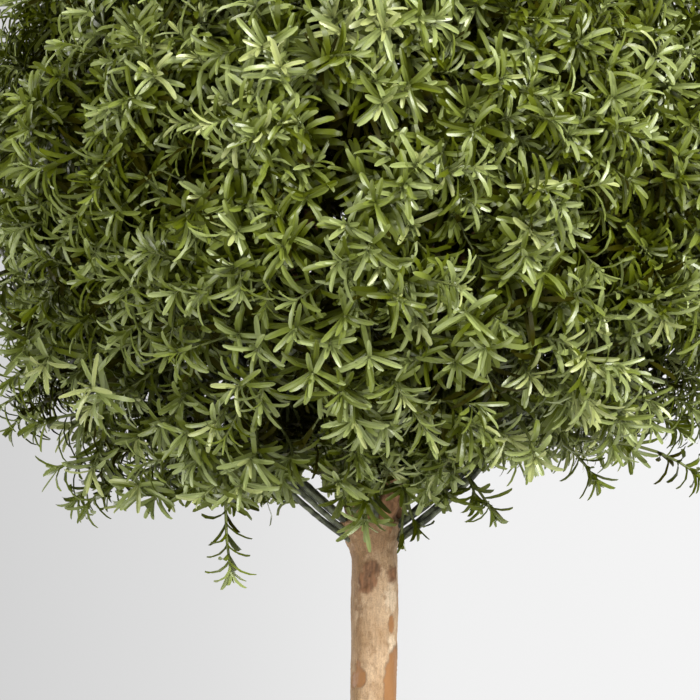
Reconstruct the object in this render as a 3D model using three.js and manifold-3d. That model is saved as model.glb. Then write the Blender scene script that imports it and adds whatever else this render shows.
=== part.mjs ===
// A ball topiary: a shaggy ball of narrow evergreen leaves on a bare wooden trunk, in a plain clay pot. It is
// an artificial plant, so the pot is filled solid and the lower boughs are moulded green stems.
// Millimetres, +Z up, origin at the middle of the pot's flat underside. The front of the plant faces -Y.
import * as THREE from 'three';
import { LoftGeometry } from 'three/addons/geometries/LoftGeometry.js';
import { mergeVertices } from 'three/addons/utils/BufferGeometryUtils.js';
import Module from 'manifold-3d';

const wasm = await Module();
wasm.setup();

// ---- driving sizes -------------------------------------------------------------------------------------

const GAP = 0.3; // clearance wherever two pieces meet

const POT_HEIGHT = 190;
const POT_FOOT_RADIUS = 84;
const POT_SHOULDER_RADIUS = 108; // the tapered body, just under the rim
const POT_RIM_RADIUS = 120;
const POT_RIM_HEIGHT = 38;
const POT_RIM_LEDGE = 7; // how far the rim stands proud of the body
const POT_WALL = 9;
const POT_FLOOR = 12;
const POT_EDGE = 2.5; // rounding of the pot's edges
const POT_SIDES = 36;

const FILL_TOP = 172;
const FILL_EDGE_DROP = 5; // the fill lies a little lower at the pot's wall than round the trunk
const FILL_FLAT_RADIUS = 34;

const TRUNK_HEAD_Z = 766;
const TRUNK_RADIUS = 14;
const TRUNK_FOOT_RADIUS = 16.5; // before the flare is added
const TRUNK_TAPER_SHARE = 0.77; // of the trunk's height, up to where it stops tapering
const TRUNK_FLARE = 5;
const TRUNK_FLARE_HEIGHT = 26;
const TRUNK_SWAY = 8;
const TRUNK_SIDES = 12;
const TRUNK_STEPS = 28;
const TRUNK_STEP_GATHER = 0.72; // 0 spaces the steps evenly, 1 gathers them fully at the trunk's ends
const HEAD_RADIUS = 18.5; // the swelling under the fork
const HEAD_HEIGHT = 26;
const HEAD_CROWN = 5; // height of the rounded top of the head
const HEAD_TOP_SHARE = 0.72; // of the head's radius, at its very top

const CROWN_RADIUS = 250;
const CROWN_CENTRE = new THREE.Vector3(0, 0, 950);
const CROWN_FLAT = 182; // how far below its centre the ball is flattened
const CROWN_EDGE = 14; // sharpness of the turn from the ball to its flattened underside
const CORE_SHARE = 0.77; // the dense inside of the foliage, as a share of the crown's reach
const CORE_DIP = 0.07; // how far the dense inside draws in between two masses
const CORE_DIP_MARGIN = 0.2;
const CORE_DETAIL = 4;
const HOLLOW_RADIUS = 104; // leafless space at the crown's middle, where the boughs run
const WELL_RADIUS = 66; // the same round the fork, under that
const HOLLOW_SIDES = 18;
const HOLLOW_RINGS = 7;
const SPACE_GAP = 1.6; // between neighbouring masses of foliage

const TWIG_COUNT = 118; // over the whole ball
const STEM_STEPS = 4;
const TWIG_FORK_SHARE = 0.56; // where the twigs part from their mass's stem, as a share of the ball's radius
const TWIG_BEND_SHARE = 0.6; // where a twig turns outwards, as a share of the crown's reach
const TWIG_TIP_SHARE = 0.845;
const TWIG_RADIUS = 3.8;
const TWIG_TIP_RADIUS = 3.2;
const TWIG_WANDER = 0.07; // how far a twig strays from its even place, in radians
const TWIG_SHORTEST = 0.95; // reach of the shortest twigs, as a share of the crown's
const TWIG_SPINS = 4; // ways round that a twig is tried, to keep the most leaves
const SKIRT_SPRAYS = [ // sprays that hang below the crown's underside
  { azimuth: 214, elevation: -59, length: 1.22 },
  { azimuth: 272, elevation: -75, length: 1.14 },
  { azimuth: 318, elevation: -66, length: 1.07 },
  { azimuth: 76, elevation: -64, length: 1.1 },
  { azimuth: 158, elevation: -62, length: 1.05 },
];

const LEAF_LENGTH = 52;
const LEAF_WIDTH = 15;
const LEAF_THICKNESS = 2;
const LEAF_WIDEST = 0.6; // where a leaf is widest, as a share of its length
const LEAF_ROOT_OFFSET = 0.25; // of a leaf's sunk root from the middle line of its twig
const LEAF_PAIRS = [ // opposite pairs down from a twig's tip, each turned a quarter from the one before
  { back: 5, lean: 0.45 },
  { back: 10, lean: 0.88 },
  { back: 15, lean: 1.22 },
];
const LEAF_DROOP = 0.12; // how far leaves turn down under their weight
const LEAF_OVERREACH = 1.03; // the most that a leaf's tip reaches, as a share of the crown's reach
const LIMB_CLEARANCE = 1; // between the foliage and the trunk or a bough
const LIMB_SAMPLES = 80; // places along a limb where that is tested
const LEAF_SAMPLES = 8;

const SEED = 41;

// The masses of foliage, by the direction in which each lies from the crown's centre. Azimuth is measured
// from +X, anticlockwise seen from above.
const UPPER_ELEVATION = 34;
const LOWER_ELEVATION = -20;
const UPPER_MASSES = { right: 18, back: 90, left: 162, front_left: 234, front_right: 306 };
const LOWER_MASSES = { back_right: 54, back_left: 126, left: 198, front: 270, right: 342 };

// Boughs are rooted below the top of the trunk's head. bendOut and bendUp place a bough's bend, as shares of
// the way out and up from its root to its tip. reach is a tip's distance from the crown's centre.
const LEADER = { rootDepth: 5, rootRadius: 4.6, tipRadius: 3.6, tipZ: 1046, sides: 8, steps: 4 };
const UPPER_BOUGH = {
  rootOffset: 11.4, rootDepth: 10, rootRadius: 6.2, tipRadius: 4, reach: 96,
  bendOut: 0.45, bendUp: 0.42, sides: 8, steps: 8,
};
const LOWER_BOUGH = {
  rootOffset: 13, rootDepth: 15, rootRadius: 3.4, tipRadius: 2.6, tipOffset: 61, tipZ: 824,
  bendOut: 0.56, bendUp: 0.46, sides: 6, steps: 5,
};

const COLOURS = {
  clay: { color: 0xb26a4a, roughness: 0.85 },
  compost: { color: 0x3d2c21, roughness: 1 },
  bark: { color: 0xc39c6f, roughness: 0.7 },
  stem: { color: 0x46523a, roughness: 0.5 },
  leaf: { color: 0x5f7f3c, roughness: 0.45 },
};

// ---- small helpers -------------------------------------------------------------------------------------

const UP = new THREE.Vector3(0, 0, 1);
const lerp = THREE.MathUtils.lerp;
const smoothstep = THREE.MathUtils.smoothstep;
const degrees = THREE.MathUtils.degToRad;

// A repeatable stream of numbers from 0 to 1 (the minimal standard generator).
function seeded(seed) {
  let state = seed;
  return () => {
    state = (state * 16807) % 2147483647;
    return state / 2147483647;
  };
}

// The horizontal unit vector at an azimuth in degrees.
function heading(azimuth) {
  return new THREE.Vector3(Math.cos(degrees(azimuth)), Math.sin(degrees(azimuth)), 0);
}

// The unit vector at an azimuth and an elevation, both in degrees.
function direction(azimuth, elevation) {
  return heading(azimuth).multiplyScalar(Math.cos(degrees(elevation))).setZ(Math.sin(degrees(elevation)));
}

// The point at a distance from the crown's centre.
function fromCentre(towards, distance) {
  return towards.clone().multiplyScalar(distance).add(CROWN_CENTRE);
}

// Two unit vectors square to an axis and to each other.
function squareTo(axis) {
  const helper = Math.abs(axis.z) < 0.9 ? UP : new THREE.Vector3(1, 0, 0);
  const side = new THREE.Vector3().crossVectors(helper, axis).normalize();
  return [side, new THREE.Vector3().crossVectors(axis, side)];
}

function toSolid(geometry) {
  const bare = new THREE.BufferGeometry().setAttribute('position', geometry.getAttribute('position').clone());
  bare.setIndex(geometry.index ? geometry.index.clone() : null);
  const merged = mergeVertices(bare, 1e-3);
  return new wasm.Manifold(new wasm.Mesh({
    numProp: 3,
    vertProperties: new Float32Array(merged.getAttribute('position').array),
    triVerts: new Uint32Array(merged.index.array),
  }));
}

function toGeometry(solid) {
  const { vertProperties, triVerts } = solid.getMesh();
  const geometry = new THREE.BufferGeometry();
  geometry.setAttribute('position', new THREE.BufferAttribute(vertProperties, 3));
  geometry.setIndex(new THREE.BufferAttribute(triVerts, 1));
  geometry.computeVertexNormals();
  return geometry;
}

// The largest of the bodies that a cut has left.
function largestBody(solid) {
  return solid.decompose().reduce((best, body) => (body.volume() > best.volume() ? body : best));
}

function mesh(name, geometry, look) {
  const made = new THREE.Mesh(geometry, new THREE.MeshStandardMaterial(COLOURS[look]));
  made.name = name;
  return made;
}

// A solid of revolution about Z, from [radius, height] pairs that start and end on the axis.
function turned(profile, sides) {
  const points = profile.map(([radius, height]) => new THREE.Vector2(radius, height));
  return new THREE.LatheGeometry(points, sides).rotateX(Math.PI / 2);
}

// A round limb along a curve, with flat ends square to it. radiusAt takes the share of the way along.
function limb(curve, radiusAt, sides, steps) {
  const sections = [];
  let [side] = squareTo(curve.getTangentAt(0));
  for (let i = 0; i <= steps; i++) {
    const along = curve.getTangentAt(i / steps);
    side = side.clone().addScaledVector(along, -side.dot(along)).normalize();
    const other = new THREE.Vector3().crossVectors(along, side);
    const centre = curve.getPointAt(i / steps);
    const radius = radiusAt(i / steps);
    sections.push(Array.from({ length: sides }, (_, k) => {
      const turn = (k / sides) * 2 * Math.PI;
      return centre.clone()
        .addScaledVector(side, radius * Math.cos(turn))
        .addScaledVector(other, radius * Math.sin(turn));
    }));
  }
  return new LoftGeometry(sections, { capStart: true, capEnd: true });
}

// ---- pot and fill --------------------------------------------------------------------------------------

const RIM_FOOT_Z = POT_HEIGHT - POT_RIM_HEIGHT;

// Outer radius of the pot's tapered body at a height.
function bodyRadius(z) {
  return lerp(POT_FOOT_RADIUS, POT_SHOULDER_RADIUS, z / RIM_FOOT_Z);
}

// Inner radius of the pot at a height. The inside carries on the body's taper behind the rim.
function insideRadius(z) {
  return bodyRadius(z) - POT_WALL;
}

function pot() {
  return turned([
    [0, 0],
    [POT_FOOT_RADIUS - POT_EDGE, 0],
    [POT_FOOT_RADIUS, POT_EDGE],
    [bodyRadius(RIM_FOOT_Z), RIM_FOOT_Z],
    [POT_SHOULDER_RADIUS + POT_RIM_LEDGE - POT_EDGE, RIM_FOOT_Z],
    [POT_SHOULDER_RADIUS + POT_RIM_LEDGE, RIM_FOOT_Z + POT_EDGE],
    [POT_RIM_RADIUS, POT_HEIGHT - POT_EDGE],
    [POT_RIM_RADIUS - POT_EDGE, POT_HEIGHT],
    [insideRadius(POT_HEIGHT) + POT_EDGE, POT_HEIGHT],
    [insideRadius(POT_HEIGHT - POT_EDGE), POT_HEIGHT - POT_EDGE],
    [insideRadius(POT_FLOOR), POT_FLOOR],
    [0, POT_FLOOR],
  ], POT_SIDES);
}

function fill() {
  const edgeZ = FILL_TOP - FILL_EDGE_DROP;
  return turned([
    [0, POT_FLOOR + GAP],
    [insideRadius(POT_FLOOR) - GAP, POT_FLOOR + GAP],
    [insideRadius(edgeZ) - GAP, edgeZ],
    [FILL_FLAT_RADIUS, FILL_TOP],
    [0, FILL_TOP],
  ], POT_SIDES);
}

// ---- trunk ---------------------------------------------------------------------------------------------

// The trunk's middle line: nearly upright, with the slight double bend of a natural pole.
class TrunkLine extends THREE.Curve {
  constructor(overshoot) {
    super();
    this.foot = FILL_TOP + GAP - overshoot;
    this.head = TRUNK_HEAD_Z + overshoot;
  }

  getPoint(share, target = new THREE.Vector3()) {
    const swing = (1 - share) * Math.sin(Math.PI * share);
    const x = -TRUNK_SWAY * swing;
    const y = TRUNK_SWAY * swing * Math.cos(Math.PI * share);
    return target.set(x, y, lerp(this.foot, this.head, share));
  }
}

function trunkRadius(share) {
  const height = share * (TRUNK_HEAD_Z - FILL_TOP);
  const belowHead = TRUNK_HEAD_Z - FILL_TOP - height;
  const taper = lerp(TRUNK_FOOT_RADIUS, TRUNK_RADIUS, Math.min(1, share / TRUNK_TAPER_SHARE));
  const flare = TRUNK_FLARE * Math.exp(-height / TRUNK_FLARE_HEIGHT);
  const swelling = (HEAD_RADIUS - TRUNK_RADIUS) * (1 - smoothstep(belowHead, HEAD_CROWN, HEAD_HEIGHT));
  return (taper + flare + swelling) * lerp(HEAD_TOP_SHARE, 1, smoothstep(belowHead, 0, HEAD_CROWN));
}

// The trunk, or with a clearance the space that whatever meets it has to stay out of.
function trunk(clearance = 0) {
  const line = new TrunkLine(clearance);
  const sections = Array.from({ length: TRUNK_STEPS + 1 }, (_, i) => {
    // The steps gather at the flare and at the head, where the outline changes fastest.
    const even = (i / TRUNK_STEPS) * 2 * Math.PI;
    const share = (even - Math.sin(even) * TRUNK_STEP_GATHER) / (2 * Math.PI);
    const centre = line.getPoint(share);
    const radius = trunkRadius(share) + clearance;
    return Array.from({ length: TRUNK_SIDES }, (_, k) => {
      const turn = (k / TRUNK_SIDES) * 2 * Math.PI;
      return new THREE.Vector3(radius * Math.cos(turn), radius * Math.sin(turn), 0).add(centre);
    });
  });
  return new LoftGeometry(sections, { capStart: true, capEnd: true });
}

// ---- boughs --------------------------------------------------------------------------------------------

const trunkSpace = toSolid(trunk(GAP));

// A bough from inside the trunk's head, cut off clear of it, along a curve to its tip.
function bough({ curve, rootRadius, tipRadius, sides, steps }) {
  const grown = toSolid(limb(curve, (share) => lerp(rootRadius, tipRadius, share), sides, steps));
  return toGeometry(largestBody(grown.subtract(trunkSpace)));
}

function leaderCurve() {
  return new THREE.LineCurve3(
    new THREE.Vector3(0, 0, TRUNK_HEAD_Z - LEADER.rootDepth),
    new THREE.Vector3(0, 0, LEADER.tipZ),
  );
}

// A bough's middle line in the upright plane at an azimuth, with one bend.
function boughCurve(azimuth, { rootOffset, rootDepth, bendOut, bendUp }, tipOffset, tipZ) {
  const at = (offset, z) => heading(azimuth).multiplyScalar(offset).setZ(z);
  const rootZ = TRUNK_HEAD_Z - rootDepth;
  return new THREE.QuadraticBezierCurve3(
    at(rootOffset, rootZ),
    at(lerp(rootOffset, tipOffset, bendOut), lerp(rootZ, tipZ, bendUp)),
    at(tipOffset, tipZ),
  );
}

// An upper bough leaves the fork steeply, then leans out towards its mass.
function upperCurve(azimuth) {
  const tip = fromCentre(direction(azimuth, UPPER_ELEVATION), UPPER_BOUGH.reach);
  return boughCurve(azimuth, UPPER_BOUGH, Math.hypot(tip.x, tip.y), tip.z);
}

// A lower bough leaves the side of the head at a slant.
function lowerCurve(azimuth) {
  return boughCurve(azimuth, LOWER_BOUGH, LOWER_BOUGH.tipOffset, LOWER_BOUGH.tipZ);
}

// Every mass of foliage with the bough that carries it.
const masses = [
  {
    name: 'foliage_crown', boughName: 'bough_leader', look: 'bark',
    axis: UP, bough: { ...LEADER, curve: leaderCurve() },
  },
  ...Object.entries(UPPER_MASSES).map(([side, azimuth]) => ({
    name: `foliage_upper_${side}`, boughName: `bough_upper_${side}`, look: 'bark',
    axis: direction(azimuth, UPPER_ELEVATION), bough: { ...UPPER_BOUGH, curve: upperCurve(azimuth) },
  })),
  ...Object.entries(LOWER_MASSES).map(([side, azimuth]) => ({
    name: `foliage_lower_${side}`, boughName: `bough_lower_${side}`, look: 'stem',
    axis: direction(azimuth, LOWER_ELEVATION), bough: { ...LOWER_BOUGH, curve: lowerCurve(azimuth) },
  })),
];

// ---- crown ---------------------------------------------------------------------------------------------

// How far the crown reaches from its centre in a direction: a ball with its underside flattened.
function crownReach(towards) {
  const flat = towards.z < 0 ? CROWN_FLAT / -towards.z : Infinity;
  return (CROWN_RADIUS ** -CROWN_EDGE + flat ** -CROWN_EDGE) ** (-1 / CROWN_EDGE);
}

// The mass that a direction from the crown's centre lies in, and how far it is from the next one.
function nearestMass(towards) {
  const [first, second] = masses
    .map((mass) => ({ mass, closeness: mass.axis.dot(towards) }))
    .sort((one, other) => other.closeness - one.closeness);
  return { mass: first.mass, margin: first.closeness - second.closeness };
}

// The dense inside of the whole crown, drawn in between the masses and hollow where the boughs run.
function crownCore() {
  const ball = new THREE.IcosahedronGeometry(1, CORE_DETAIL);
  const position = ball.getAttribute('position');
  for (let i = 0; i < position.count; i++) {
    const towards = new THREE.Vector3().fromBufferAttribute(position, i).normalize();
    const dip = CORE_DIP * (1 - smoothstep(nearestMass(towards).margin, 0, CORE_DIP_MARGIN));
    position.setXYZ(i, ...fromCentre(towards, crownReach(towards) * CORE_SHARE * (1 - dip)).toArray());
  }
  return toSolid(ball).subtract(toSolid(hollow()));
}

// The leafless space inside the crown: a well round the fork that opens into a ball at the crown's middle.
function hollow() {
  const meet = Math.asin(WELL_RADIUS / HOLLOW_RADIUS); // angle from straight down where the ball takes over
  const ball = Array.from({ length: HOLLOW_RINGS }, (_, i) => {
    const turn = lerp(meet, Math.PI, i / HOLLOW_RINGS);
    return [HOLLOW_RADIUS * Math.sin(turn), CROWN_CENTRE.z - HOLLOW_RADIUS * Math.cos(turn)];
  });
  const bottom = CROWN_CENTRE.z - CROWN_RADIUS;
  const top = CROWN_CENTRE.z + HOLLOW_RADIUS;
  return turned([[0, bottom], [WELL_RADIUS, bottom], ...ball, [0, top]], HOLLOW_SIDES);
}

// The planes that part a mass's space from its neighbours': a point is inside where normal . point > offset.
function spacePlanes(mass) {
  return masses.filter((other) => other !== mass).map((other) => {
    const normal = new THREE.Vector3().subVectors(mass.axis, other.axis).normalize();
    return { normal, offset: normal.dot(CROWN_CENTRE) + SPACE_GAP / 2 };
  });
}

// Points along the middle of every limb, each with the limb's radius there.
function limbPoints() {
  const along = (curve, radiusAt) => Array.from({ length: LIMB_SAMPLES + 1 }, (_, i) => (
    { centre: curve.getPointAt(i / LIMB_SAMPLES), radius: radiusAt(i / LIMB_SAMPLES) }
  ));
  const boughs = masses.flatMap(({ bough: { curve, rootRadius, tipRadius } }) => (
    along(curve, (share) => lerp(rootRadius, tipRadius, share))
  ));
  return [...boughs, ...along(new TrunkLine(0), trunkRadius)];
}

// True if a straight run of foliage of a given half width stays clear of the trunk and the boughs.
function clearOfLimbs(root, tip, halfWidth) {
  const middle = new THREE.Vector3();
  return Array.from({ length: LEAF_SAMPLES + 1 }).every((_, i) => {
    middle.lerpVectors(root, tip, i / LEAF_SAMPLES);
    return limbs.every(({ centre, radius }) => (
      centre.distanceTo(middle) > radius + halfWidth + LIMB_CLEARANCE
    ));
  });
}

// True if every corner of a shape is in the mass's space and within a given share of the crown's reach.
function keepsToSpace(geometry, mass, length) {
  const corner = new THREE.Vector3();
  const position = geometry.getAttribute('position');
  for (let i = 0; i < position.count; i++) {
    corner.fromBufferAttribute(position, i);
    if (mass.planes.some(({ normal, offset }) => normal.dot(corner) < offset)) return false;
    corner.sub(CROWN_CENTRE);
    if (corner.length() > crownReach(corner.clone().normalize()) * length) return false;
  }
  return true;
}

// A flat, pointed leaf between its root and its tip, with a ridge along the side that faces one way.
function leaf(root, tip, face) {
  const outline = [new THREE.Vector2(0, 0), new THREE.Vector2(1, LEAF_WIDEST), new THREE.Vector2(0, 1)];
  const made = new THREE.LatheGeometry(outline, 3);
  const position = made.getAttribute('position');
  const along = new THREE.Vector3().subVectors(tip, root).normalize();
  const across = new THREE.Vector3().crossVectors(along, face).normalize();
  const proud = new THREE.Vector3().crossVectors(across, along);
  for (let i = 0; i < position.count; i++) {
    const corner = new THREE.Vector3().lerpVectors(root, tip, position.getY(i))
      .addScaledVector(across, (position.getX(i) * LEAF_WIDTH) / Math.sqrt(3))
      .addScaledVector(proud, (position.getZ(i) * LEAF_THICKNESS) / 1.5);
    position.setXYZ(i, ...corner.toArray());
  }
  return made;
}

// The twigs of the whole crown: one to each even share of the ball, and the sprays that hang under it.
function growTwigs() {
  const random = seeded(SEED);
  const golden = Math.PI * (3 - Math.sqrt(5));
  const even = Array.from({ length: TWIG_COUNT }, (_, k) => {
    const height = 1 - (2 * (k + 0.5)) / TWIG_COUNT;
    const level = Math.sqrt(1 - height * height);
    const towards = new THREE.Vector3(level * Math.cos(k * golden), level * Math.sin(k * golden), height);
    const [side, other] = squareTo(towards);
    towards.addScaledVector(side, TWIG_WANDER * (2 * random() - 1));
    towards.addScaledVector(other, TWIG_WANDER * (2 * random() - 1)).normalize();
    return { towards, length: lerp(1, TWIG_SHORTEST, random()), spin: random() * Math.PI };
  });
  const hanging = SKIRT_SPRAYS.map(({ azimuth, elevation, length }) => (
    { towards: direction(azimuth, elevation), length, spin: random() * Math.PI }
  ));
  return [...even, ...hanging].map((twig) => ({ ...twig, mass: nearestMass(twig.towards).mass }));
}

// A twig's middle line, from its mass's stem through a bend in the mass's dense heart to its tip.
function twigLine({ towards, length, mass }) {
  const reach = crownReach(towards) * length;
  const fork = fromCentre(mass.axis, CROWN_RADIUS * TWIG_FORK_SHARE);
  const bend = fromCentre(towards, reach * TWIG_BEND_SHARE);
  const widen = (WELL_RADIUS + TWIG_RADIUS * 3) / Math.hypot(bend.x, bend.y);
  if (bend.z < CROWN_CENTRE.z && widen > 1) bend.set(bend.x * widen, bend.y * widen, bend.z);
  return { fork, bend, tip: fromCentre(towards, reach * TWIG_TIP_SHARE) };
}

// The leaves of a twig, in opposite pairs, with the twig turned about its own line.
function twigLeaves({ bend, tip }, spin) {
  const along = new THREE.Vector3().subVectors(tip, bend).normalize();
  const [side, other] = squareTo(along);
  return LEAF_PAIRS.flatMap(({ back, lean }, pair) => [0, Math.PI].map((half) => {
    const turn = spin + half + (pair * Math.PI) / 2;
    const out = side.clone().multiplyScalar(Math.cos(turn)).addScaledVector(other, Math.sin(turn));
    const towards = along.clone().multiplyScalar(Math.cos(lean)).addScaledVector(out, Math.sin(lean));
    towards.addScaledVector(UP, -LEAF_DROOP).normalize();
    const root = tip.clone().addScaledVector(along, -back);
    return {
      root: root.clone().addScaledVector(towards, LEAF_ROOT_OFFSET),
      tip: root.clone().addScaledVector(towards, LEAF_LENGTH),
      face: along,
    };
  }));
}

// A mass's twigs with their leaves, as closed shapes that overlap where they join.
function massGrowth(mass, twigs) {
  const shapes = [];
  for (const twig of twigs.filter((one) => one.mass === mass)) {
    const line = twigLine(twig);
    const curve = new THREE.CatmullRomCurve3([line.fork, line.bend, line.tip]);
    const stem = limb(curve, (share) => lerp(TWIG_RADIUS, TWIG_TIP_RADIUS, share), 3, 3);
    if (!keepsToSpace(stem, mass, 1)) continue;
    if (!clearOfLimbs(line.bend, line.tip, TWIG_RADIUS)) continue;
    const tries = Array.from({ length: TWIG_SPINS }, (_, k) => (
      twigLeaves(line, twig.spin + (k * Math.PI) / 2 / TWIG_SPINS)
        .filter(({ root, tip }) => clearOfLimbs(root, tip, LEAF_WIDTH / 2))
        .map(({ root, tip, face }) => leaf(root, tip, face))
        .filter((made) => keepsToSpace(made, mass, Math.max(1, twig.length) * LEAF_OVERREACH))
    ));
    shapes.push(stem, ...tries.reduce((best, leaves) => (leaves.length > best.length ? leaves : best)));
  }
  return shapes;
}

// The short stem that carries a mass on from its bough's tip into its core.
function massStem(mass) {
  const along = mass.bough.curve.getTangentAt(1);
  const start = mass.bough.curve.getPointAt(1).addScaledVector(along, GAP);
  const end = fromCentre(mass.axis, CROWN_RADIUS * TWIG_FORK_SHARE);
  const bend = start.clone().addScaledVector(along, start.distanceTo(end) / 2);
  const curve = new THREE.QuadraticBezierCurve3(start, bend, end);
  return limb(curve, () => mass.bough.tipRadius, mass.bough.sides, STEM_STEPS);
}

function foliage(mass, core, twigs) {
  let inside = core;
  for (const { normal, offset } of mass.planes) inside = inside.trimByPlane(normal.toArray(), offset);
  const shapes = [massStem(mass), ...massGrowth(mass, twigs)].map(toSolid);
  return toGeometry(largestBody(shapes.reduce((joined, shape) => joined.add(shape), largestBody(inside))));
}

// ---- assembly ------------------------------------------------------------------------------------------

const topiary = new THREE.Group();
topiary.add(mesh('pot', pot(), 'clay'));
topiary.add(mesh('potting_fill', fill(), 'compost'));
topiary.add(mesh('trunk', trunk(), 'bark'));
for (const mass of masses) mass.planes = spacePlanes(mass);

const limbs = limbPoints();
const core = crownCore();
const twigs = growTwigs();
for (const mass of masses) {
  topiary.add(mesh(mass.boughName, bough(mass.bough), mass.look));
  topiary.add(mesh(mass.name, foliage(mass, core, twigs), 'leaf'));
}

export default topiary;
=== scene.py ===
from math import cos, pi, radians, sin, sqrt

import bpy
import numpy as np
from bpy.props import FloatProperty, FloatVectorProperty, IntProperty, PointerProperty
from bpy.types import Operator, Panel, PropertyGroup
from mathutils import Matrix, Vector, noise


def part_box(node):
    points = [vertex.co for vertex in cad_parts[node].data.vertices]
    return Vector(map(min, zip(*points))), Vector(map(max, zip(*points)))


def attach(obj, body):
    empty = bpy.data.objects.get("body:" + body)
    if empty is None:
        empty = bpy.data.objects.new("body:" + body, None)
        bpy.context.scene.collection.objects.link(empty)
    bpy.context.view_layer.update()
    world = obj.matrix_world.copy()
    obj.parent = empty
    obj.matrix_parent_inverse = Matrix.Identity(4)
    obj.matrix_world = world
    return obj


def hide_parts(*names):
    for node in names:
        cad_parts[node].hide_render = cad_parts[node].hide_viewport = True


bl_info = {
    "name": "Ball Topiary",
    "version": (1, 0, 0),
    "blender": (4, 5, 0),
    "location": "3D View > Sidebar > Topiary",
    "description": "Makes a potted ball topiary with moulded leaves on a natural pole",
    "category": "Add Mesh",
}

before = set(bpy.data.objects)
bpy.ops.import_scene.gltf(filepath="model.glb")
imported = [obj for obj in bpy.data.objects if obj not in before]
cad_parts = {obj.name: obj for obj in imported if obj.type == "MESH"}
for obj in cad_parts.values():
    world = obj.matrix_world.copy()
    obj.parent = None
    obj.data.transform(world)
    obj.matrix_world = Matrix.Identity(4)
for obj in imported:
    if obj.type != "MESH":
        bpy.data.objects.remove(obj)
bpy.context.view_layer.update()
BODY = "root"

# ---- sizes that follow the solid model, in metres -----------------------------------------------

POT_TOP_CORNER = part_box("pot")[1]
FILL_TOP_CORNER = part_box("potting_fill")[1]
POLE_LOW_CORNER, POLE_TOP_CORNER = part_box("trunk")

POT_HEIGHT = POT_TOP_CORNER.z
POT_RIM_RADIUS = POT_TOP_CORNER.x
POT_FOOT_RADIUS = 0.084
POT_SHOULDER_RADIUS = 0.108
POT_RIM_HEIGHT = 0.038
POT_RIM_LEDGE = 0.007
POT_WALL = 0.009
POT_FLOOR = 0.012
POT_SIDES = 96

FILL_TOP = FILL_TOP_CORNER.z
FILL_EDGE_DROP = 0.005

POLE_FOOT_Z = POLE_LOW_CORNER.z
POLE_HEAD_Z = POLE_TOP_CORNER.z
POLE_TAPER_SHARE = 0.77
POLE_FLARE_HEIGHT = 0.026
POLE_SWAY = 0.008
HEAD_RADIUS = 0.0185
HEAD_HEIGHT = 0.026
HEAD_CROWN = 0.005
HEAD_TOP_SHARE = 0.72

CROWN_RADIUS = 0.250
CROWN_CENTRE = np.array((0.0, 0.0, 0.950))
CROWN_EDGE = 40
WELL_RADIUS = 0.066

TWIG_COUNT = 118
TWIG_FORK_SHARE = 0.56
TWIG_BEND_SHARE = 0.6
TWIG_TIP_SHARE = 0.845
TWIG_WANDER = 0.07
TWIG_SHORTEST = 0.95
TWIG_SEED = 41
SKIRT_SPRAYS = (  # azimuth, elevation and length of the sprays that hang below the crown's underside
    (214, -59, 1.22), (272, -75, 1.14), (318, -66, 1.07), (76, -64, 1.1), (158, -62, 1.05),
)

UPPER_ELEVATION = 34
LOWER_ELEVATION = -20
UPPER_MASSES = {"right": 18, "back": 90, "left": 162, "front_left": 234, "front_right": 306}
LOWER_MASSES = {"back_right": 54, "back_left": 126, "left": 198, "front": 270, "right": 342}

# Where the camera stands unless the user moves it.
VIEW_WIDTH = 0.423
VIEW_DISTANCE = 2.6
VIEW_SIDE = -0.015
VIEW_HEIGHT = 0.865

UP = np.array((0.0, 0.0, 1.0))
GOLDEN_ANGLE = pi * (3 - sqrt(5))


# ---- small helpers ------------------------------------------------------------------------------


def lerp(start, end, share):
    return start + (end - start) * share


def smoothstep(value, low, high):
    share = np.clip((value - low) / (high - low), 0, 1)
    return share * share * (3 - 2 * share)


def colour(code):
    """The linear colour of a web colour such as 0x8FAE57."""
    channels = ((code >> 16) & 255, (code >> 8) & 255, code & 255)
    return tuple(c / 255 / 12.92 if c <= 10 else ((c / 255 + 0.055) / 1.055) ** 2.4 for c in channels)


def direction(azimuth, elevation):
    """The unit vector at an azimuth, from +X anticlockwise seen from above, and an elevation, in degrees."""
    level = cos(radians(elevation))
    return np.array((cos(radians(azimuth)) * level, sin(radians(azimuth)) * level, sin(radians(elevation))))


def unit(vectors):
    return vectors / np.maximum(np.linalg.norm(vectors, axis=-1, keepdims=True), 1e-12)


def square_to(axes):
    """Two unit vectors square to each axis and to each other."""
    helper = np.where(np.abs(axes[..., 2:3]) < 0.9, UP, np.array((1.0, 0.0, 0.0)))
    side = unit(np.cross(helper, axes))
    return side, np.cross(axes, side)


def toned(base, *shares):
    """A colour with each of its channels taken by its own share, or all of them by the same one."""
    return tuple(min(1, channel * share) for channel, share in zip(base, shares * (3 // len(shares))))


def seeded(seed):
    """A repeatable stream of numbers from 0 to 1, the one from which the solid model deals its twigs."""
    state = seed
    while True:
        state = state * 16807 % 2147483647
        yield state / 2147483647


def arc_points(root, bend, tip, share):
    """Points and directions along curves with one bend. The curves are (n, 3) arrays and share is (n, k)."""
    s = share[..., None]
    root, bend, tip = root[:, None], bend[:, None], tip[:, None]
    points = (1 - s) ** 2 * root + 2 * s * (1 - s) * bend + s ** 2 * tip
    return points, unit((1 - s) * (bend - root) + s * (tip - bend))


NOISE_STEP = 2.0  # how much finer each further octave of lumpy noise is


def soft_noise(points, scale):
    """Smooth noise at each point."""
    return np.array([noise.noise(Vector(p) * scale) for p in points])


def lumpy_noise(points, scale, falloff, octaves, shift=0):
    """Noise of several sizes at each point. A shift along X gives another pattern."""
    start = Vector((shift, 0, 0))
    return np.array([noise.fractal(Vector(p) * scale + start, falloff, NOISE_STEP, octaves) for p in points])


def kept_rows(rows, kept):
    """The rows of a dictionary of arrays for which kept is true."""
    return {key: value[kept] for key, value in rows.items()}


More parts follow.
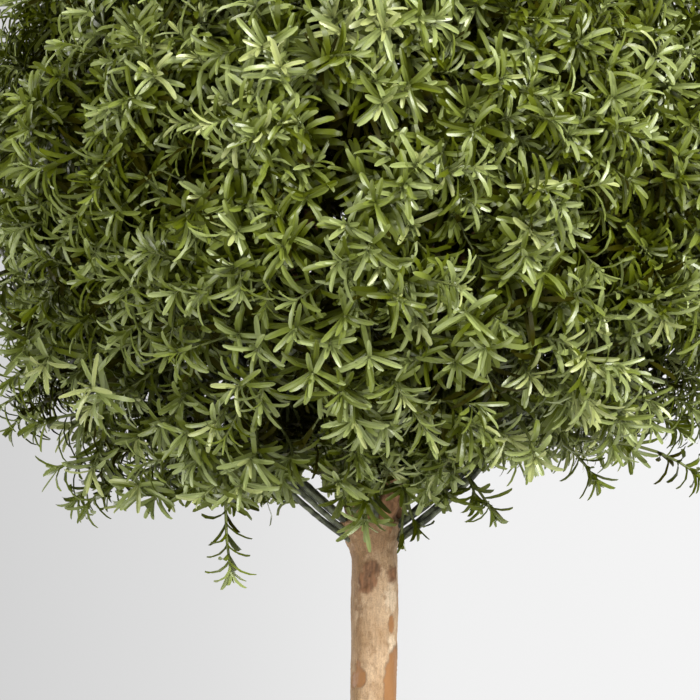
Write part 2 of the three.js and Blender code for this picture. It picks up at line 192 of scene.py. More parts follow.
def join_rows(groups):
    """One dictionary of arrays from several that have the same keys."""
    return {key: np.concatenate([group[key] for group in groups]) for key in groups[0]}


# ---- meshes and finishes ------------------------------------------------------------------------


def mesh_piece(name, corners, face_groups, materials):
    """A smooth mesh object. Each group of faces is an array of corner numbers with its array of slots."""
    faces = [group for group, _ in face_groups]
    loops = np.concatenate([group.ravel() for group in faces]).astype(np.int32)
    sizes = np.concatenate([np.full(len(group), group.shape[1]) for group in faces])
    slots = np.concatenate([np.broadcast_to(slots, len(group)) for group, slots in face_groups])
    mesh = bpy.data.meshes.new(name)
    mesh.vertices.add(len(corners))
    mesh.vertices.foreach_set("co", np.ascontiguousarray(corners, np.float32).ravel())
    mesh.loops.add(len(loops))
    mesh.loops.foreach_set("vertex_index", loops)
    mesh.polygons.add(len(sizes))
    mesh.polygons.foreach_set("loop_start", (np.cumsum(sizes) - sizes).astype(np.int32))
    mesh.polygons.foreach_set("material_index", slots.astype(np.int32))
    mesh.update(calc_edges=True)
    mesh.shade_smooth()
    piece = bpy.data.objects.new(name, mesh)
    bpy.context.scene.collection.objects.link(piece)
    for material in materials:
        mesh.materials.append(material)
    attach(piece, BODY)
    return piece


def paint_points(piece, name, values):
    """Keeps one number for each corner of a piece, for its finish to read."""
    layer = piece.data.attributes.new(name, "FLOAT", "POINT")
    layer.data.foreach_set("value", np.ascontiguousarray(values, np.float32).ravel())


def ring_faces(rings, sides):
    """The four-sided faces of a skin of rings, in the order that faces it outwards when rings go up."""
    ring, side = np.meshgrid(np.arange(rings - 1), np.arange(sides), indexing="ij")
    after = (side + 1) % sides
    low = ring * sides
    high = low + sides
    return np.stack((low + side, low + after, high + after, high + side), -1).reshape(-1, 4)


def closed_skin(corners, rings, sides, start, end):
    """The corners and faces of a skin of rings that is closed at each end round a middle point."""
    corners = np.concatenate((corners, (start, end)))
    first = np.arange(sides)
    after = (first + 1) % sides
    last_ring = (rings - 1) * sides
    start_number = rings * sides
    caps = np.concatenate((
        np.stack((np.full(sides, start_number), after, first), -1),
        np.stack((last_ring + first, last_ring + after, np.full(sides, start_number + 1)), -1),
    ))
    return corners, [(ring_faces(rings, sides), 0), (caps, 0)]


def set_stops(node, stops):
    """Gives a ramp its stops, each a position with a colour or a grey."""
    elements = node.color_ramp.elements
    while len(elements) < len(stops):
        elements.new(0.5)
    for element, (position, shade) in zip(elements, stops):
        element.position = position
        element.color = (*shade, 1) if isinstance(shade, tuple) else (shade, shade, shade, 1)


class Finish:
    """A node material under construction, with short words for the nodes it uses."""

    def __init__(self, name, base, roughness, specular=0.5):
        self.material = bpy.data.materials.new(name)
        self.material.use_nodes = True
        self.nodes = self.material.node_tree.nodes
        self.links = self.material.node_tree.links
        self.shader = self.nodes["Principled BSDF"]
        self.shader.inputs["Base Color"].default_value = (*base, 1)
        self.shader.inputs["Roughness"].default_value = roughness
        self.shader.inputs["Specular IOR Level"].default_value = specular
        self.place = self.nodes.new("ShaderNodeTexCoord").outputs["Object"]

    def node(self, kind, inputs=(), **settings):
        """A new node. Each input is a number, a colour or another node's output."""
        made = self.nodes.new(kind)
        for key, value in settings.items():
            setattr(made, key, value)
        for socket, value in dict(inputs).items():
            if isinstance(value, bpy.types.NodeSocket):
                self.links.new(value, made.inputs[socket])
            else:
                made.inputs[socket].default_value = value
        return made

    def stretched(self, scale):
        """The place on the piece, with a scale along each axis."""
        return self.node("ShaderNodeMapping", {"Vector": self.place, "Scale": scale}).outputs["Vector"]

    def cloud(self, scale, detail=4.0, stretch=None):
        """Cloudy noise from 0 to 1."""
        where = self.stretched(stretch) if stretch else self.place
        made = self.node("ShaderNodeTexNoise", {"Vector": where, "Scale": scale, "Detail": detail})
        return made.outputs["Fac"]

    def ramp(self, value, stops):
        """A value turned into the colours or greys of its stops."""
        made = self.node("ShaderNodeValToRGB", {"Fac": value})
        set_stops(made, stops)
        return made.outputs["Color"]

    def painted(self, name):
        """The number that paint_points kept under a name."""
        return self.node("ShaderNodeAttribute", attribute_name=name).outputs["Fac"]

    def mix(self, share, one, other, blend="MIX"):
        """One colour turned into the other by a share."""
        made = self.node("ShaderNodeMix", data_type="RGBA", blend_type=blend)
        for socket, value in zip((made.inputs[0], made.inputs[6], made.inputs[7]), (share, one, other)):
            if isinstance(value, bpy.types.NodeSocket):
                self.links.new(value, socket)
            elif isinstance(value, tuple):
                socket.default_value = (*value, 1)
            else:
                socket.default_value = value
        return made.outputs[2]

    def base(self, value):
        self.links.new(value, self.shader.inputs["Base Color"])

    def rough(self, value):
        self.links.new(value, self.shader.inputs["Roughness"])

    def bump(self, height, depth, strength=1.0):
        made = self.node("ShaderNodeBump", {"Height": height, "Distance": depth, "Strength": strength})
        self.links.new(made.outputs["Normal"], self.shader.inputs["Normal"])


# ---- what a user may change ---------------------------------------------------------------------


def size_property(name, default, description):
    return FloatProperty(name=name, description=description, default=default, min=0, precision=4,
                         subtype="DISTANCE", unit="LENGTH")


def colour_property(name, code, description):
    return FloatVectorProperty(name=name, description=description, default=colour(code), size=3, min=0, max=1,
                               subtype="COLOR")


def count_property(name, default, description):
    return IntProperty(name=name, description=description, default=default, min=1)


class TopiaryPotSizes(PropertyGroup):
    """The clay pot and what fills it."""

    height: size_property("Height", POT_HEIGHT, "Height of the pot")
    rim_radius: size_property("Rim radius", POT_RIM_RADIUS, "Outer radius of the pot's rim at its top")
    edge: size_property("Edge", 0.0025, "Rounding of the pot's edges")
    clay: colour_property("Clay", 0xB5683F, "Colour of the fired clay")
    clay_bloom: colour_property("Bloom", 0xC98D6A, "Colour of the paler patches on the clay")
    dressing: colour_property("Dressing", 0x3A2A1F, "Colour of the crumbled bark on the fill")
    crumbs: count_property("Crumbs", 900, "Number of crumbs of bark on the fill")


class TopiaryPoleSizes(PropertyGroup):
    """The natural pole."""

    radius: size_property("Radius", 0.014, "Radius of the pole under the crown")
    foot_radius: size_property("Foot radius", 0.0165, "Radius of the pole above its flare")
    flare: size_property("Flare", 0.005, "How far the pole widens at its foot")
    bark: colour_property("Bark", 0xC5A886, "Colour of the pale bark")
    peeled: colour_property("Peeled", 0x9D7046, "Colour of the smooth patches where bark has peeled")
    knot: colour_property("Knots", 0x7F593D, "Colour of the knots")
    # Painted shade: the colour of the pole's left side, darker as if the light fell from the right.
    shade: colour_property("Shade", 0x9E7D55, "Colour of the weathered side")


class TopiaryBoughSizes(PropertyGroup):
    """The wooden boughs and the moulded wires at the fork."""

    bough_radius: size_property("Bough radius", 0.0062, "Radius of an upper bough at its root")
    bough_tip_radius: size_property("Bough tip radius", 0.004, "Radius of an upper bough at its tip")
    wire_radius: size_property("Wire radius", 0.0018, "Radius of a moulded wire")
    wood: colour_property("Wood", 0x916C4C, "Colour of the boughs' bark")
    wire: colour_property("Wire", 0x666B54, "Colour of the moulded wires")


class TopiaryLeafSizes(PropertyGroup):
    """The sprigs and their leaves."""

    sprigs: count_property("Sprigs", 12, "Sprigs that fan out from each twig")
    leaf_length: size_property("Leaf length", 0.0222, "Length of a full-grown leaf")
    leaf_width: size_property("Leaf width", 0.0034, "Width of a full-grown leaf")
    bud: colour_property("Buds", 0xA0A766, "Colour of the youngest leaves")
    tip: colour_property("Tips", 0x889352, "Colour of the leaves at the sprigs' tips")
    young: colour_property("Young", 0x6C772A, "Colour of the young leaves")
    grown: colour_property("Grown", 0x515A08, "Colour of the full-grown leaves")
    old: colour_property("Old", 0x3E4509, "Colour of the old leaves")
    # Painted shade: a near-black green for the leaves deep in the crown, where shade falls.
    inner: colour_property("Inner", 0x2E2D03, "Colour of the leaves deep in the crown")
    stem: colour_property("Stems", 0x6E763B, "Colour of the sprigs' stems")


class TopiaryStageSizes(PropertyGroup):
    """The camera and the studio floor."""

    view_width: size_property("View width", VIEW_WIDTH, "Width that the picture shows at the crown's middle")
    distance: size_property("Distance", VIEW_DISTANCE, "Distance of the camera from the crown's middle")
    aim_side: FloatProperty(name="Aim to the side", description="Where the camera aims along X",
                            default=VIEW_SIDE, unit="LENGTH")
    aim_height: size_property("Aim height", VIEW_HEIGHT, "Height at which the camera aims")
    floor: colour_property("Floor", 0xD2D2D2, "Colour of the floor")


GROUPS = {
    "topiary_pot": TopiaryPotSizes,
    "topiary_pole": TopiaryPoleSizes,
    "topiary_boughs": TopiaryBoughSizes,
    "topiary_leaves": TopiaryLeafSizes,
    "topiary_stage": TopiaryStageSizes,
}


# ---- pot and fill -------------------------------------------------------------------------------

RIM_FOOT_Z = POT_HEIGHT - POT_RIM_HEIGHT
POT_MARKS_START = (0.004, 0.012)  # heights between which the marks of turning begin
POT_MARKS = ((0.00022, 900, 0), (0.0003, 210, 1))  # depth, closeness and start of each set of turned rings
POT_WAVER = 0.0008
POT_WAVER_SCALE = 9


def body_radius(z):
    """Outer radius of the pot's tapered body at a height."""
    return lerp(POT_FOOT_RADIUS, POT_SHOULDER_RADIUS, z / RIM_FOOT_Z)


def inside_radius(z):
    return body_radius(z) - POT_WALL


def rounded_outline(points, edge, steps=4, spacing=0.004):
    """An outline of [radius, height] corners with each inner corner rounded and long runs divided evenly."""
    points = [np.array(p, float) for p in points]
    path = [points[0]]
    for before, corner, after in zip(points, points[1:], points[2:]):
        way_in, way_out = unit(before - corner), unit(after - corner)
        room = min(edge, np.linalg.norm(before - corner) / 2.2, np.linalg.norm(after - corner) / 2.2)
        start, end = corner + way_in * room, corner + way_out * room
        for share in np.linspace(0, 1, steps + 1):
            path.append((1 - share) ** 2 * start + 2 * share * (1 - share) * corner + share ** 2 * end)
    path.append(points[-1])
    outline = [path[0]]
    for point in path[1:]:
        parts = max(1, int(np.linalg.norm(point - outline[-1]) / spacing))
        outline += [lerp(outline[-1], point, k / parts) for k in range(1, parts + 1)]
    return np.array(outline)


def turned_piece(name, outline, sides, materials, relief):
    """A solid turned about Z from an outline that starts and ends on the axis. relief moves its corners."""
    rings = outline[1:-1]
    turn = np.arange(sides) / sides * 2 * pi
    radius, height = rings[:, :1], np.repeat(rings[:, 1:], sides, axis=1)
    corners = np.stack((radius * np.cos(turn), radius * np.sin(turn), height), -1)
    corners = relief(corners.reshape(-1, 3))
    start, end = (0, 0, outline[0][1]), (0, 0, outline[-1][1])
    corners, faces = closed_skin(corners, len(rings), sides, start, end)
    return mesh_piece(name, corners, faces, materials)


def clay_finish(sizes):
    clay = Finish("fired_clay", sizes.clay, 0.85, 0.3)
    bloom = clay.ramp(clay.cloud(14, 6), ((0.42, 0.0), (0.68, 0.75)))
    speckle = clay.ramp(clay.cloud(900, 2), ((0.35, 0.55), (0.6, 1.0)))
    body = clay.mix(bloom, tuple(sizes.clay), tuple(sizes.clay_bloom))
    clay.base(clay.mix(0.5, body, speckle, "MULTIPLY"))
    clay.rough(clay.ramp(clay.cloud(40), ((0.3, 0.72), (0.7, 0.92))))
    rings = clay.cloud(60, 3, stretch=(0.4, 0.4, 6))
    clay.bump(clay.mix(0.5, rings, clay.cloud(700, 3)), 0.0006)
    return clay.material


def add_pot(sizes):
    outline = rounded_outline([
        (0, 0), (POT_FOOT_RADIUS, 0), (POT_SHOULDER_RADIUS, RIM_FOOT_Z),
        (POT_SHOULDER_RADIUS + POT_RIM_LEDGE, RIM_FOOT_Z), (sizes.rim_radius, sizes.height),
        (inside_radius(sizes.height), sizes.height), (inside_radius(POT_FLOOR), POT_FLOOR), (0, POT_FLOOR),
    ], sizes.edge)

    def hand_turned(corners):
        """The faint rings and waver of a thrown pot. Its underside stays flat."""
        outside = smoothstep(corners[:, 2], *POT_MARKS_START)
        rings = sum(depth * np.sin(corners[:, 2] * pitch + start) for depth, pitch, start in POT_MARKS)
        waver = soft_noise(corners, POT_WAVER_SCALE) * POT_WAVER
        moved = corners.copy()
        moved[:, :2] *= 1 + ((rings + waver) * outside / np.hypot(corners[:, 0], corners[:, 1]))[:, None]
        return moved

    pot = turned_piece("clay_pot", outline, POT_SIDES, [clay_finish(sizes)], hand_turned)
    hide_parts("pot")


def dressing_finish(sizes):
    dressing = Finish("bark_dressing", sizes.dressing, 0.95, 0.25)
    dark, pale = toned(sizes.dressing, 0.45), toned(sizes.dressing, 2.6)
    stops = ((0.3, dark), (0.52, tuple(sizes.dressing)), (0.72, pale))
    dressing.base(dressing.ramp(dressing.cloud(120, 6), stops))
    dressing.bump(dressing.cloud(500, 5), 0.0012)
    return dressing.material


CRUMB_SHAPE = np.array(
    ((1, 0, 0), (0, 1, 0), (-1, 0, 0), (0, -1, 0), (0.2, 0.1, 1), (-0.1, 0.15, -1)), float)
CRUMB_FACES = np.array(
    ((0, 1, 4), (1, 2, 4), (2, 3, 4), (3, 0, 4), (1, 0, 5), (2, 1, 5), (3, 2, 5), (0, 3, 5)))
CRUMB_EXTENT = (0.0052, 0.0036, 0.0018)  # half the length, width and thickness of the largest crumbs
CRUMB_SIZES = (0.4, 1)  # shares of that
CRUMB_UNEVENNESS = (0.7, 1.3)
CRUMB_PLACES = (0.05, 0.93)  # shares of the fill's area, from its middle, between which they lie
CRUMB_SEED = 5
CRUMB_LAYER = 0.0035  # how far the fill's surface lies under the tops of the crumbs
CRUMB_LIFT = 0.0008
FILL_CLEARANCE = 0.0006  # between the fill and the pot
FILL_RINGS = 48
FILL_SIDES = 120
FILL_CRUST = 0.02  # depth of the fill's lumpy top
FILL_LUMPS = 0.002


def fill_height(x, y):
    """Height of the fill's surface, a little lower at the pot's wall."""
    share = np.hypot(x, y) / inside_radius(FILL_TOP)
    return FILL_TOP - CRUMB_LAYER - FILL_EDGE_DROP * share ** 2


def add_fill(sizes):
    finish = dressing_finish(sizes)
    wall = inside_radius(FILL_TOP - FILL_EDGE_DROP) - FILL_CLEARANCE
    floor_z = POT_FLOOR + FILL_CLEARANCE
    foot = (inside_radius(floor_z) - FILL_CLEARANCE, floor_z)
    top = [(wall * share, fill_height(wall * share, 0)) for share in np.linspace(1, 0.02, FILL_RINGS)]
    outline = np.array([(0, floor_z), foot, *top, (0, fill_height(0, 0))])

    def crumbly(corners):
        """The lumps of the fill's top."""
        lumps = lumpy_noise(corners, 120, 0.6, 4) * FILL_LUMPS
        moved = corners.copy()
        moved[:, 2] += lumps * (corners[:, 2] > FILL_TOP - FILL_CRUST)
        return moved

    fill = turned_piece("fill_surface", outline, FILL_SIDES, [finish], crumbly)
    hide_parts("potting_fill")

    rng = np.random.default_rng(CRUMB_SEED)
    count = sizes.crumbs
    turn, out = rng.random(count) * 2 * pi, np.sqrt(rng.uniform(*CRUMB_PLACES, count)) * wall
    middle = np.stack((out * np.cos(turn), out * np.sin(turn), np.zeros(count)), -1)
    middle[:, 2] = fill_height(middle[:, 0], middle[:, 1]) + CRUMB_LIFT
    extent = rng.uniform(*CRUMB_SIZES, (count, 3)) * CRUMB_EXTENT
    spin = rng.random(count) * 2 * pi
    shape = CRUMB_SHAPE * extent[:, None] * rng.uniform(*CRUMB_UNEVENNESS, (count, len(CRUMB_SHAPE), 1))
    x = shape[..., 0] * np.cos(spin)[:, None] - shape[..., 1] * np.sin(spin)[:, None]
    y = shape[..., 0] * np.sin(spin)[:, None] + shape[..., 1] * np.cos(spin)[:, None]
    corners = np.stack((x, y, shape[..., 2]), -1) + middle[:, None]
    faces = (np.arange(count)[:, None, None] * len(CRUMB_SHAPE) + CRUMB_FACES).reshape(-1, 3)
    crumbs = mesh_piece("fill_crumbs", corners.reshape(-1, 3), [(faces, 0)], [finish])


# ---- pole ---------------------------------------------------------------------------------------

POLE_RINGS = 660
POLE_SIDES = 96
# Marks on the bark: height, angle from the front towards +X in degrees, half height, half width.
PEELED_PATCHES = (
    (0.7000, 47, 0.0058, 0.0025), (0.6620, 66, 0.0245, 0.0098), (0.6680, -38, 0.0062, 0.0048),
    (0.6745, -44, 0.0040, 0.0022), (0.6660, -62, 0.0050, 0.0030), (0.6250, -80, 0.0150, 0.0050),
    (0.6050, 10, 0.0080, 0.0036),
)
KNOTS = (
    (0.7335, -6, 0.0078, 0.0048), (0.7255, -22, 0.0078, 0.0060), (0.7295, -14, 0.0095, 0.0055),
    (0.7300, 48, 0.0056, 0.0050),
)
CREAM_PLACES = ((0.7150, 46, 0.013, 0.0065), (0.6850, 52, 0.012, 0.0045))
BROWN_PLACES = ((0.7350, -58, 0.040, 0.0085), (0.7050, -42, 0.030, 0.0035), (0.7520, 0, 0.012, 0.0200))
SPREAD_PATCHES = 46  # further peeled patches over the rest of the pole
BACK_PATCHES = 9  # the same for the back of the pole under its head
SPREAD_KNOTS = 9  # spread patches that have a knot on the pole's other side
KNOT_TURN = 140  # degrees from such a patch to its knot
KNOT_SIZE = (0.005, 0.004)
SPREAD_HEIGHTS = (POLE_FOOT_Z + 0.01, 0.60)
BACK_HEIGHTS = (0.6, 0.75)
BACK_ANGLES = (100, 260)
PATCH_HALF_HEIGHTS = (0.004, 0.02)
PATCH_HALF_WIDTHS = (0.002, 0.006)
POLE_SEED = 11
BARK_LUMPS = 0.0005
BARK_GRAIN = 0.00012
PEEL_DEPTH = 0.0005
PEEL_LIP = 0.00025
KNOT_RISE = 0.0009
KNOT_PIT = 0.0016
KNOT_PIT_FADE = (0.45, 0.9)
# Of each kind of mark: the depths in it between which it sets in, its strength, how ragged its outline is.
PEELED_FADE, PEELED_RAGGED = (-0.02, 0.07), 0.10
KNOT_FADE, KNOT_STRENGTH, KNOT_RAGGED = (-0.10, 0.30), 0.88, (0.35, 0.12)
BROWN_FADE, BROWN_STRENGTH, BROWN_RAGGED = (0.0, 0.6), 0.85, (0.5, 0.4)
CREAM_FADE, CREAM_STRENGTH, CREAM_RAGGED = (0.0, 0.6), 0.7, 0.5
# Painted shade on the pole's left side, as if the light fell from the right.
PAINTED_SHADE_FADE, PAINTED_SHADE_STRENGTH, PAINTED_SHADE_RAGGED = (0.55, 0.95), 0.85, 0.35
LEFT_FADE = (-0.3, 0.9)
LIP_DISTANCE, LIP_WIDTH = 0.05, 0.10  # of the raised bark round a peeled patch
EDGE_STRENGTH, EDGE_WIDTH = 0.55, 0.05  # of the dark line round it
COLLAR_HEIGHTS = (0.735, 0.760)
COLLAR_STEP = 0.0022  # how far the bark stands out under the fork on the left, and draws in on the right
COLLAR_RAGGED = 0.0026
BARK_CREAM = (0.78, 0.62, 0.43)
BARK_BROWN = ((0.23, 0.125, 0.055), (0.40, 0.24, 0.12))  # darkest and palest
BARK_EDGE = (0.12, 0.065, 0.035)


def pole_middle(share):
    """The pole's middle line: nearly upright, with a slight double bend."""
    swing = (1 - share) * np.sin(pi * share)
    return -POLE_SWAY * swing, POLE_SWAY * swing * np.cos(pi * share)


def pole_radius(share, sizes):
    height = share * (POLE_HEAD_Z - POLE_FOOT_Z)
    below_head = POLE_HEAD_Z - POLE_FOOT_Z - height
    taper = lerp(sizes.foot_radius, sizes.radius, np.minimum(1, share / POLE_TAPER_SHARE))
    flare = sizes.flare * np.exp(-height / POLE_FLARE_HEIGHT)
    swelling = (HEAD_RADIUS - sizes.radius) * (1 - smoothstep(below_head, HEAD_CROWN, HEAD_HEIGHT))
    return (taper + flare + swelling) * lerp(HEAD_TOP_SHARE, 1, smoothstep(below_head, 0, HEAD_CROWN))


def patch_depth(z, angle, radius, patches, ragged):
    """How deep inside the nearest patch each point is: 1 in its middle, 0 on its edge, below 0 outside."""
    deepest = np.full(z.shape, -9.0)
    for height, turn, half_height, half_width in patches:
        around = (angle - radians(turn) + pi) % (2 * pi) - pi
        depth = 1 - np.sqrt(((z - height) / half_height) ** 2 + (around * radius / half_width) ** 2)
        deepest = np.maximum(deepest, depth)
    return deepest + ragged


def bark_finish(sizes):
    bark = Finish("pole_bark", sizes.bark, 0.66, 0.3)
    blotch = bark.ramp(bark.cloud(80, 5, stretch=(1, 1, 0.55)), ((0.36, 0.0), (0.62, 1.0)))
    body = bark.mix(blotch, toned(sizes.bark, 0.76, 0.68, 0.58), toned(sizes.bark, 1.04))
    freckle = bark.ramp(bark.cloud(330, 5, stretch=(1, 1, 0.6)), ((0.52, 0.0), (0.64, 0.55)))
    body = bark.mix(freckle, body, toned(sizes.bark, 0.55, 0.46, 0.36))
    # Painted shade: the pole's left side turns darker.
    body = bark.mix(bark.painted("painted_shade"), body, tuple(sizes.shade))
    brown = bark.mix(bark.cloud(240, 4, stretch=(1, 1, 0.35)), *BARK_BROWN)
    body = bark.mix(bark.painted("brown"), body, brown)
    body = bark.mix(bark.painted("cream"), body, BARK_CREAM)
    speckle = bark.ramp(bark.cloud(1400, 3), ((0.38, 0.60), (0.52, 1.0)))
    body = bark.mix(0.6, body, speckle, "MULTIPLY")
    flake = bark.ramp(bark.cloud(700, 3, stretch=(1, 1, 0.18)), ((0.40, 0.72), (0.55, 1.0)))
    body = bark.mix(0.6, body, flake, "MULTIPLY")
    grain = bark.cloud(220, 3, stretch=(1, 1, 0.3))
    peeled = bark.mix(grain, toned(sizes.peeled, 0.88), toned(sizes.peeled, 1.12))
    body = bark.mix(bark.painted("peeled"), body, peeled)
    streak = bark.ramp(bark.cloud(420, 4, stretch=(1, 1, 0.3)), ((0.36, 0.0), (0.62, 1.0)))
    knot = bark.mix(streak, toned(sizes.knot, 0.5), toned(sizes.knot, 1.3))
    body = bark.mix(bark.painted("knot"), body, knot)
    bark.base(bark.mix(bark.painted("edge"), body, BARK_EDGE))
    bark.rough(bark.ramp(bark.painted("peeled"), ((0.0, 0.72), (1.0, 0.46))))
    bark.bump(bark.cloud(900, 5, stretch=(1, 1, 0.5)), 0.0004)
    return bark.material


def patch_size(rng):
    """Half the height and half the width of a peeled patch."""
    return rng.uniform(*PATCH_HALF_HEIGHTS), rng.uniform(*PATCH_HALF_WIDTHS)


def add_pole(sizes):
    share = np.linspace(0, 1, POLE_RINGS)[:, None]
    angle = (np.arange(POLE_SIDES) / POLE_SIDES * 2 * pi)[None, :]  # from the front towards +X
    z = np.broadcast_to(lerp(POLE_FOOT_Z, POLE_HEAD_Z, share), (POLE_RINGS, POLE_SIDES))
    radius = np.broadcast_to(pole_radius(share, sizes), z.shape)
    angle = np.broadcast_to(angle, z.shape)
    rng = np.random.default_rng(POLE_SEED)
    heights = rng.uniform(*SPREAD_HEIGHTS, SPREAD_PATCHES)
    spread = [(height, rng.uniform(-180, 180), *patch_size(rng)) for height in heights]
    behind = [
        (rng.uniform(*BACK_HEIGHTS), rng.uniform(*BACK_ANGLES), *patch_size(rng)) for _ in range(BACK_PATCHES)
    ]
    far_knots = [(height, turn + KNOT_TURN, *KNOT_SIZE) for height, turn, *_ in spread[:SPREAD_KNOTS]]
    spots = np.stack((np.sin(angle) * radius, -np.cos(angle) * radius, z), -1).reshape(-1, 3)
    ragged = lumpy_noise(spots, 260, 0.8, 3).reshape(z.shape)
    lumps = lumpy_noise(spots * (1, 1, 0.4), 90, 0.7, 4).reshape(z.shape)
    fine = soft_noise(spots, 900).reshape(z.shape)

    peel = patch_depth(z, angle, radius, (*PEELED_PATCHES, *spread, *behind), ragged * PEELED_RAGGED)
    peeled = smoothstep(peel, *PEELED_FADE)
    lip = np.exp(-((peel + LIP_DISTANCE) / LIP_WIDTH) ** 2) * (1 - peeled)
    edge = EDGE_STRENGTH * np.exp(-(peel / EDGE_WIDTH) ** 2)
    knot_ragged = ragged * KNOT_RAGGED[0] + fine * KNOT_RAGGED[1]
    knot_depth = patch_depth(z, angle, radius, (*KNOTS, *far_knots), knot_ragged)
    knot = smoothstep(knot_depth, *KNOT_FADE) * KNOT_STRENGTH
    brown_ragged = ragged * BROWN_RAGGED[0] + lumps * BROWN_RAGGED[1]
    brown_depth = patch_depth(z, angle, radius, BROWN_PLACES, brown_ragged)
    brown = smoothstep(brown_depth, *BROWN_FADE) * BROWN_STRENGTH
    cream_depth = patch_depth(z, angle, radius, CREAM_PLACES, ragged * CREAM_RAGGED)
    cream = smoothstep(cream_depth, *CREAM_FADE) * CREAM_STRENGTH
    leftness = -np.sin(angle)
    # Painted shade: the pole darkens towards its left side, as if the light fell from the right.
    painted_shade = smoothstep(leftness + PAINTED_SHADE_RAGGED * lumps, *PAINTED_SHADE_FADE) * PAINTED_SHADE_STRENGTH
    left = smoothstep(leftness, *LEFT_FADE)
    collar = COLLAR_STEP * left - COLLAR_STEP * (1 - left) + COLLAR_RAGGED * ragged * left

    relief = BARK_LUMPS * lumps + BARK_GRAIN * fine - PEEL_DEPTH * peeled + PEEL_LIP * lip
    knot_relief = KNOT_RISE - KNOT_PIT * smoothstep(knot_depth, *KNOT_PIT_FADE)
    relief += knot * knot_relief + smoothstep(z, *COLLAR_HEIGHTS) * collar
    middle_x, middle_y = pole_middle(share)
    out = radius + relief
    corners = np.stack((middle_x + np.sin(angle) * out, middle_y - np.cos(angle) * out, z), -1)
    foot, head = (0, 0, POLE_FOOT_Z), (0, 0, POLE_HEAD_Z)
    corners, faces = closed_skin(corners.reshape(-1, 3), POLE_RINGS, POLE_SIDES, foot, head)
    pole = mesh_piece("pole", corners, faces, [bark_finish(sizes)])
    marks = {
        "peeled": peeled, "knot": knot, "cream": cream, "painted_shade": painted_shade, "brown": brown, "edge": edge,
    }
    for name, values in marks.items():
        paint_points(pole, name, np.concatenate((values.ravel(), (0, 0))))
    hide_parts("trunk")


# ---- boughs and wires ---------------------------------------------------------------------------


def tubes(root, bend, tip, root_radius, tip_radius, sides, steps, wander=0.0, seed=0):
    """Round stems along curves with one bend, joined: their corners, four-sided faces and end faces."""
    count = len(root)
    share = np.broadcast_to(np.linspace(0, 1, steps + 1), (count, steps + 1))
    middle, along = arc_points(root, bend, tip, share)
    if wander:
        stray = np.random.default_rng(seed).normal(0, wander, middle.shape)
        middle = middle + stray * (np.sin(pi * share) ** 0.5)[..., None]
    helper, _ = square_to(along[:, :1])
    side = unit(helper - along * np.sum(helper * along, -1, keepdims=True))
    other = np.cross(along, side)
    turn = np.arange(sides) / sides * 2 * pi
    radius = lerp(np.reshape(root_radius, (-1, 1)), np.reshape(tip_radius, (-1, 1)), share)[..., None, None]
    ring = side[:, :, None] * np.cos(turn)[:, None] + other[:, :, None] * np.sin(turn)[:, None]
    corners = middle[:, :, None] + ring * radius
    per_tube = (steps + 1) * sides
    start = np.arange(count)[:, None] * per_tube
    skin = (start[..., None] + ring_faces(steps + 1, sides)).reshape(-1, 4)
    around = np.arange(sides)
    ends = np.concatenate((start + around[::-1], start + steps * sides + around))
    return corners.reshape(-1, 3), skin, ends


def head_point(azimuth, offset, z):
    """A point at an azimuth and a distance from the pole's axis."""
    return np.array((cos(radians(azimuth)) * offset, sin(radians(azimuth)) * offset, z))


def bough_line(azimuth, root_offset, root_z, tip_offset, tip_z, bend_out, bend_up):
    """A bough's root, bend and tip in the upright plane at an azimuth."""
    bend = head_point(azimuth, lerp(root_offset, tip_offset, bend_out), lerp(root_z, tip_z, bend_up))
    return head_point(azimuth, root_offset, root_z), bend, head_point(azimuth, tip_offset, tip_z)


BOUGH_ROOT_DEPTH = 0.012  # how deep in the pole's head the boughs start
UPPER_ROOT_OFFSET = 0.0085
UPPER_REACH = 0.096  # from the crown's centre to the tips of the upper boughs
UPPER_BEND = (0.45, 0.42)  # share of the way out and of the way up
LEADER_TIP_Z = 1.046
LEADER_LINE = ((0, 0, POLE_HEAD_Z - BOUGH_ROOT_DEPTH), (0.004, 0.002, 0.9), (0, 0, LEADER_TIP_Z))
LEADER_THICKNESS = 0.75  # share of the other boughs' thickness
BOUGH_SIDES = 28
BOUGH_STEPS = 150
BOUGH_LUMPS = 0.0015


def upper_line(azimuth):
    """The root, bend and tip of the upper bough at an azimuth."""
    tip = CROWN_CENTRE + direction(azimuth, UPPER_ELEVATION) * UPPER_REACH
    root_z = POLE_HEAD_Z - BOUGH_ROOT_DEPTH
    return bough_line(azimuth, UPPER_ROOT_OFFSET, root_z, np.hypot(tip[0], tip[1]), tip[2], *UPPER_BEND)


def wood_finish(sizes):
    wood = Finish("bough_bark", sizes.wood, 0.75, 0.3)
    patch = wood.ramp(wood.cloud(160, 5, stretch=(1, 1, 0.5)), ((0.38, 0.0), (0.60, 1.0)))
    wood.base(wood.mix(patch, toned(sizes.wood, 0.5, 0.46, 0.44), toned(sizes.wood, 1.4)))
    wood.bump(wood.cloud(500, 5), 0.0010)
    return wood.material


WIRE_RIB = 0.00085  # distance between the fine ribs round a wire


def wire_finish(sizes):
    wire = Finish("moulded_wire", sizes.wire, 0.42, 0.45)
    patch = wire.ramp(wire.cloud(190, 3), ((0.40, 0.0), (0.62, 1.0)))
    rib = wire.node("ShaderNodeMath", {0: wire.painted("along"), 1: 2 * pi / WIRE_RIB}, operation="MULTIPLY")
    wave = wire.node("ShaderNodeMath", {0: rib.outputs[0]}, operation="SINE")
    wire.base(wire.mix(patch, toned(sizes.wire, 0.35), toned(sizes.wire, 1.35)))
    wire.bump(wave.outputs[0], 0.0001)
    return wire.material


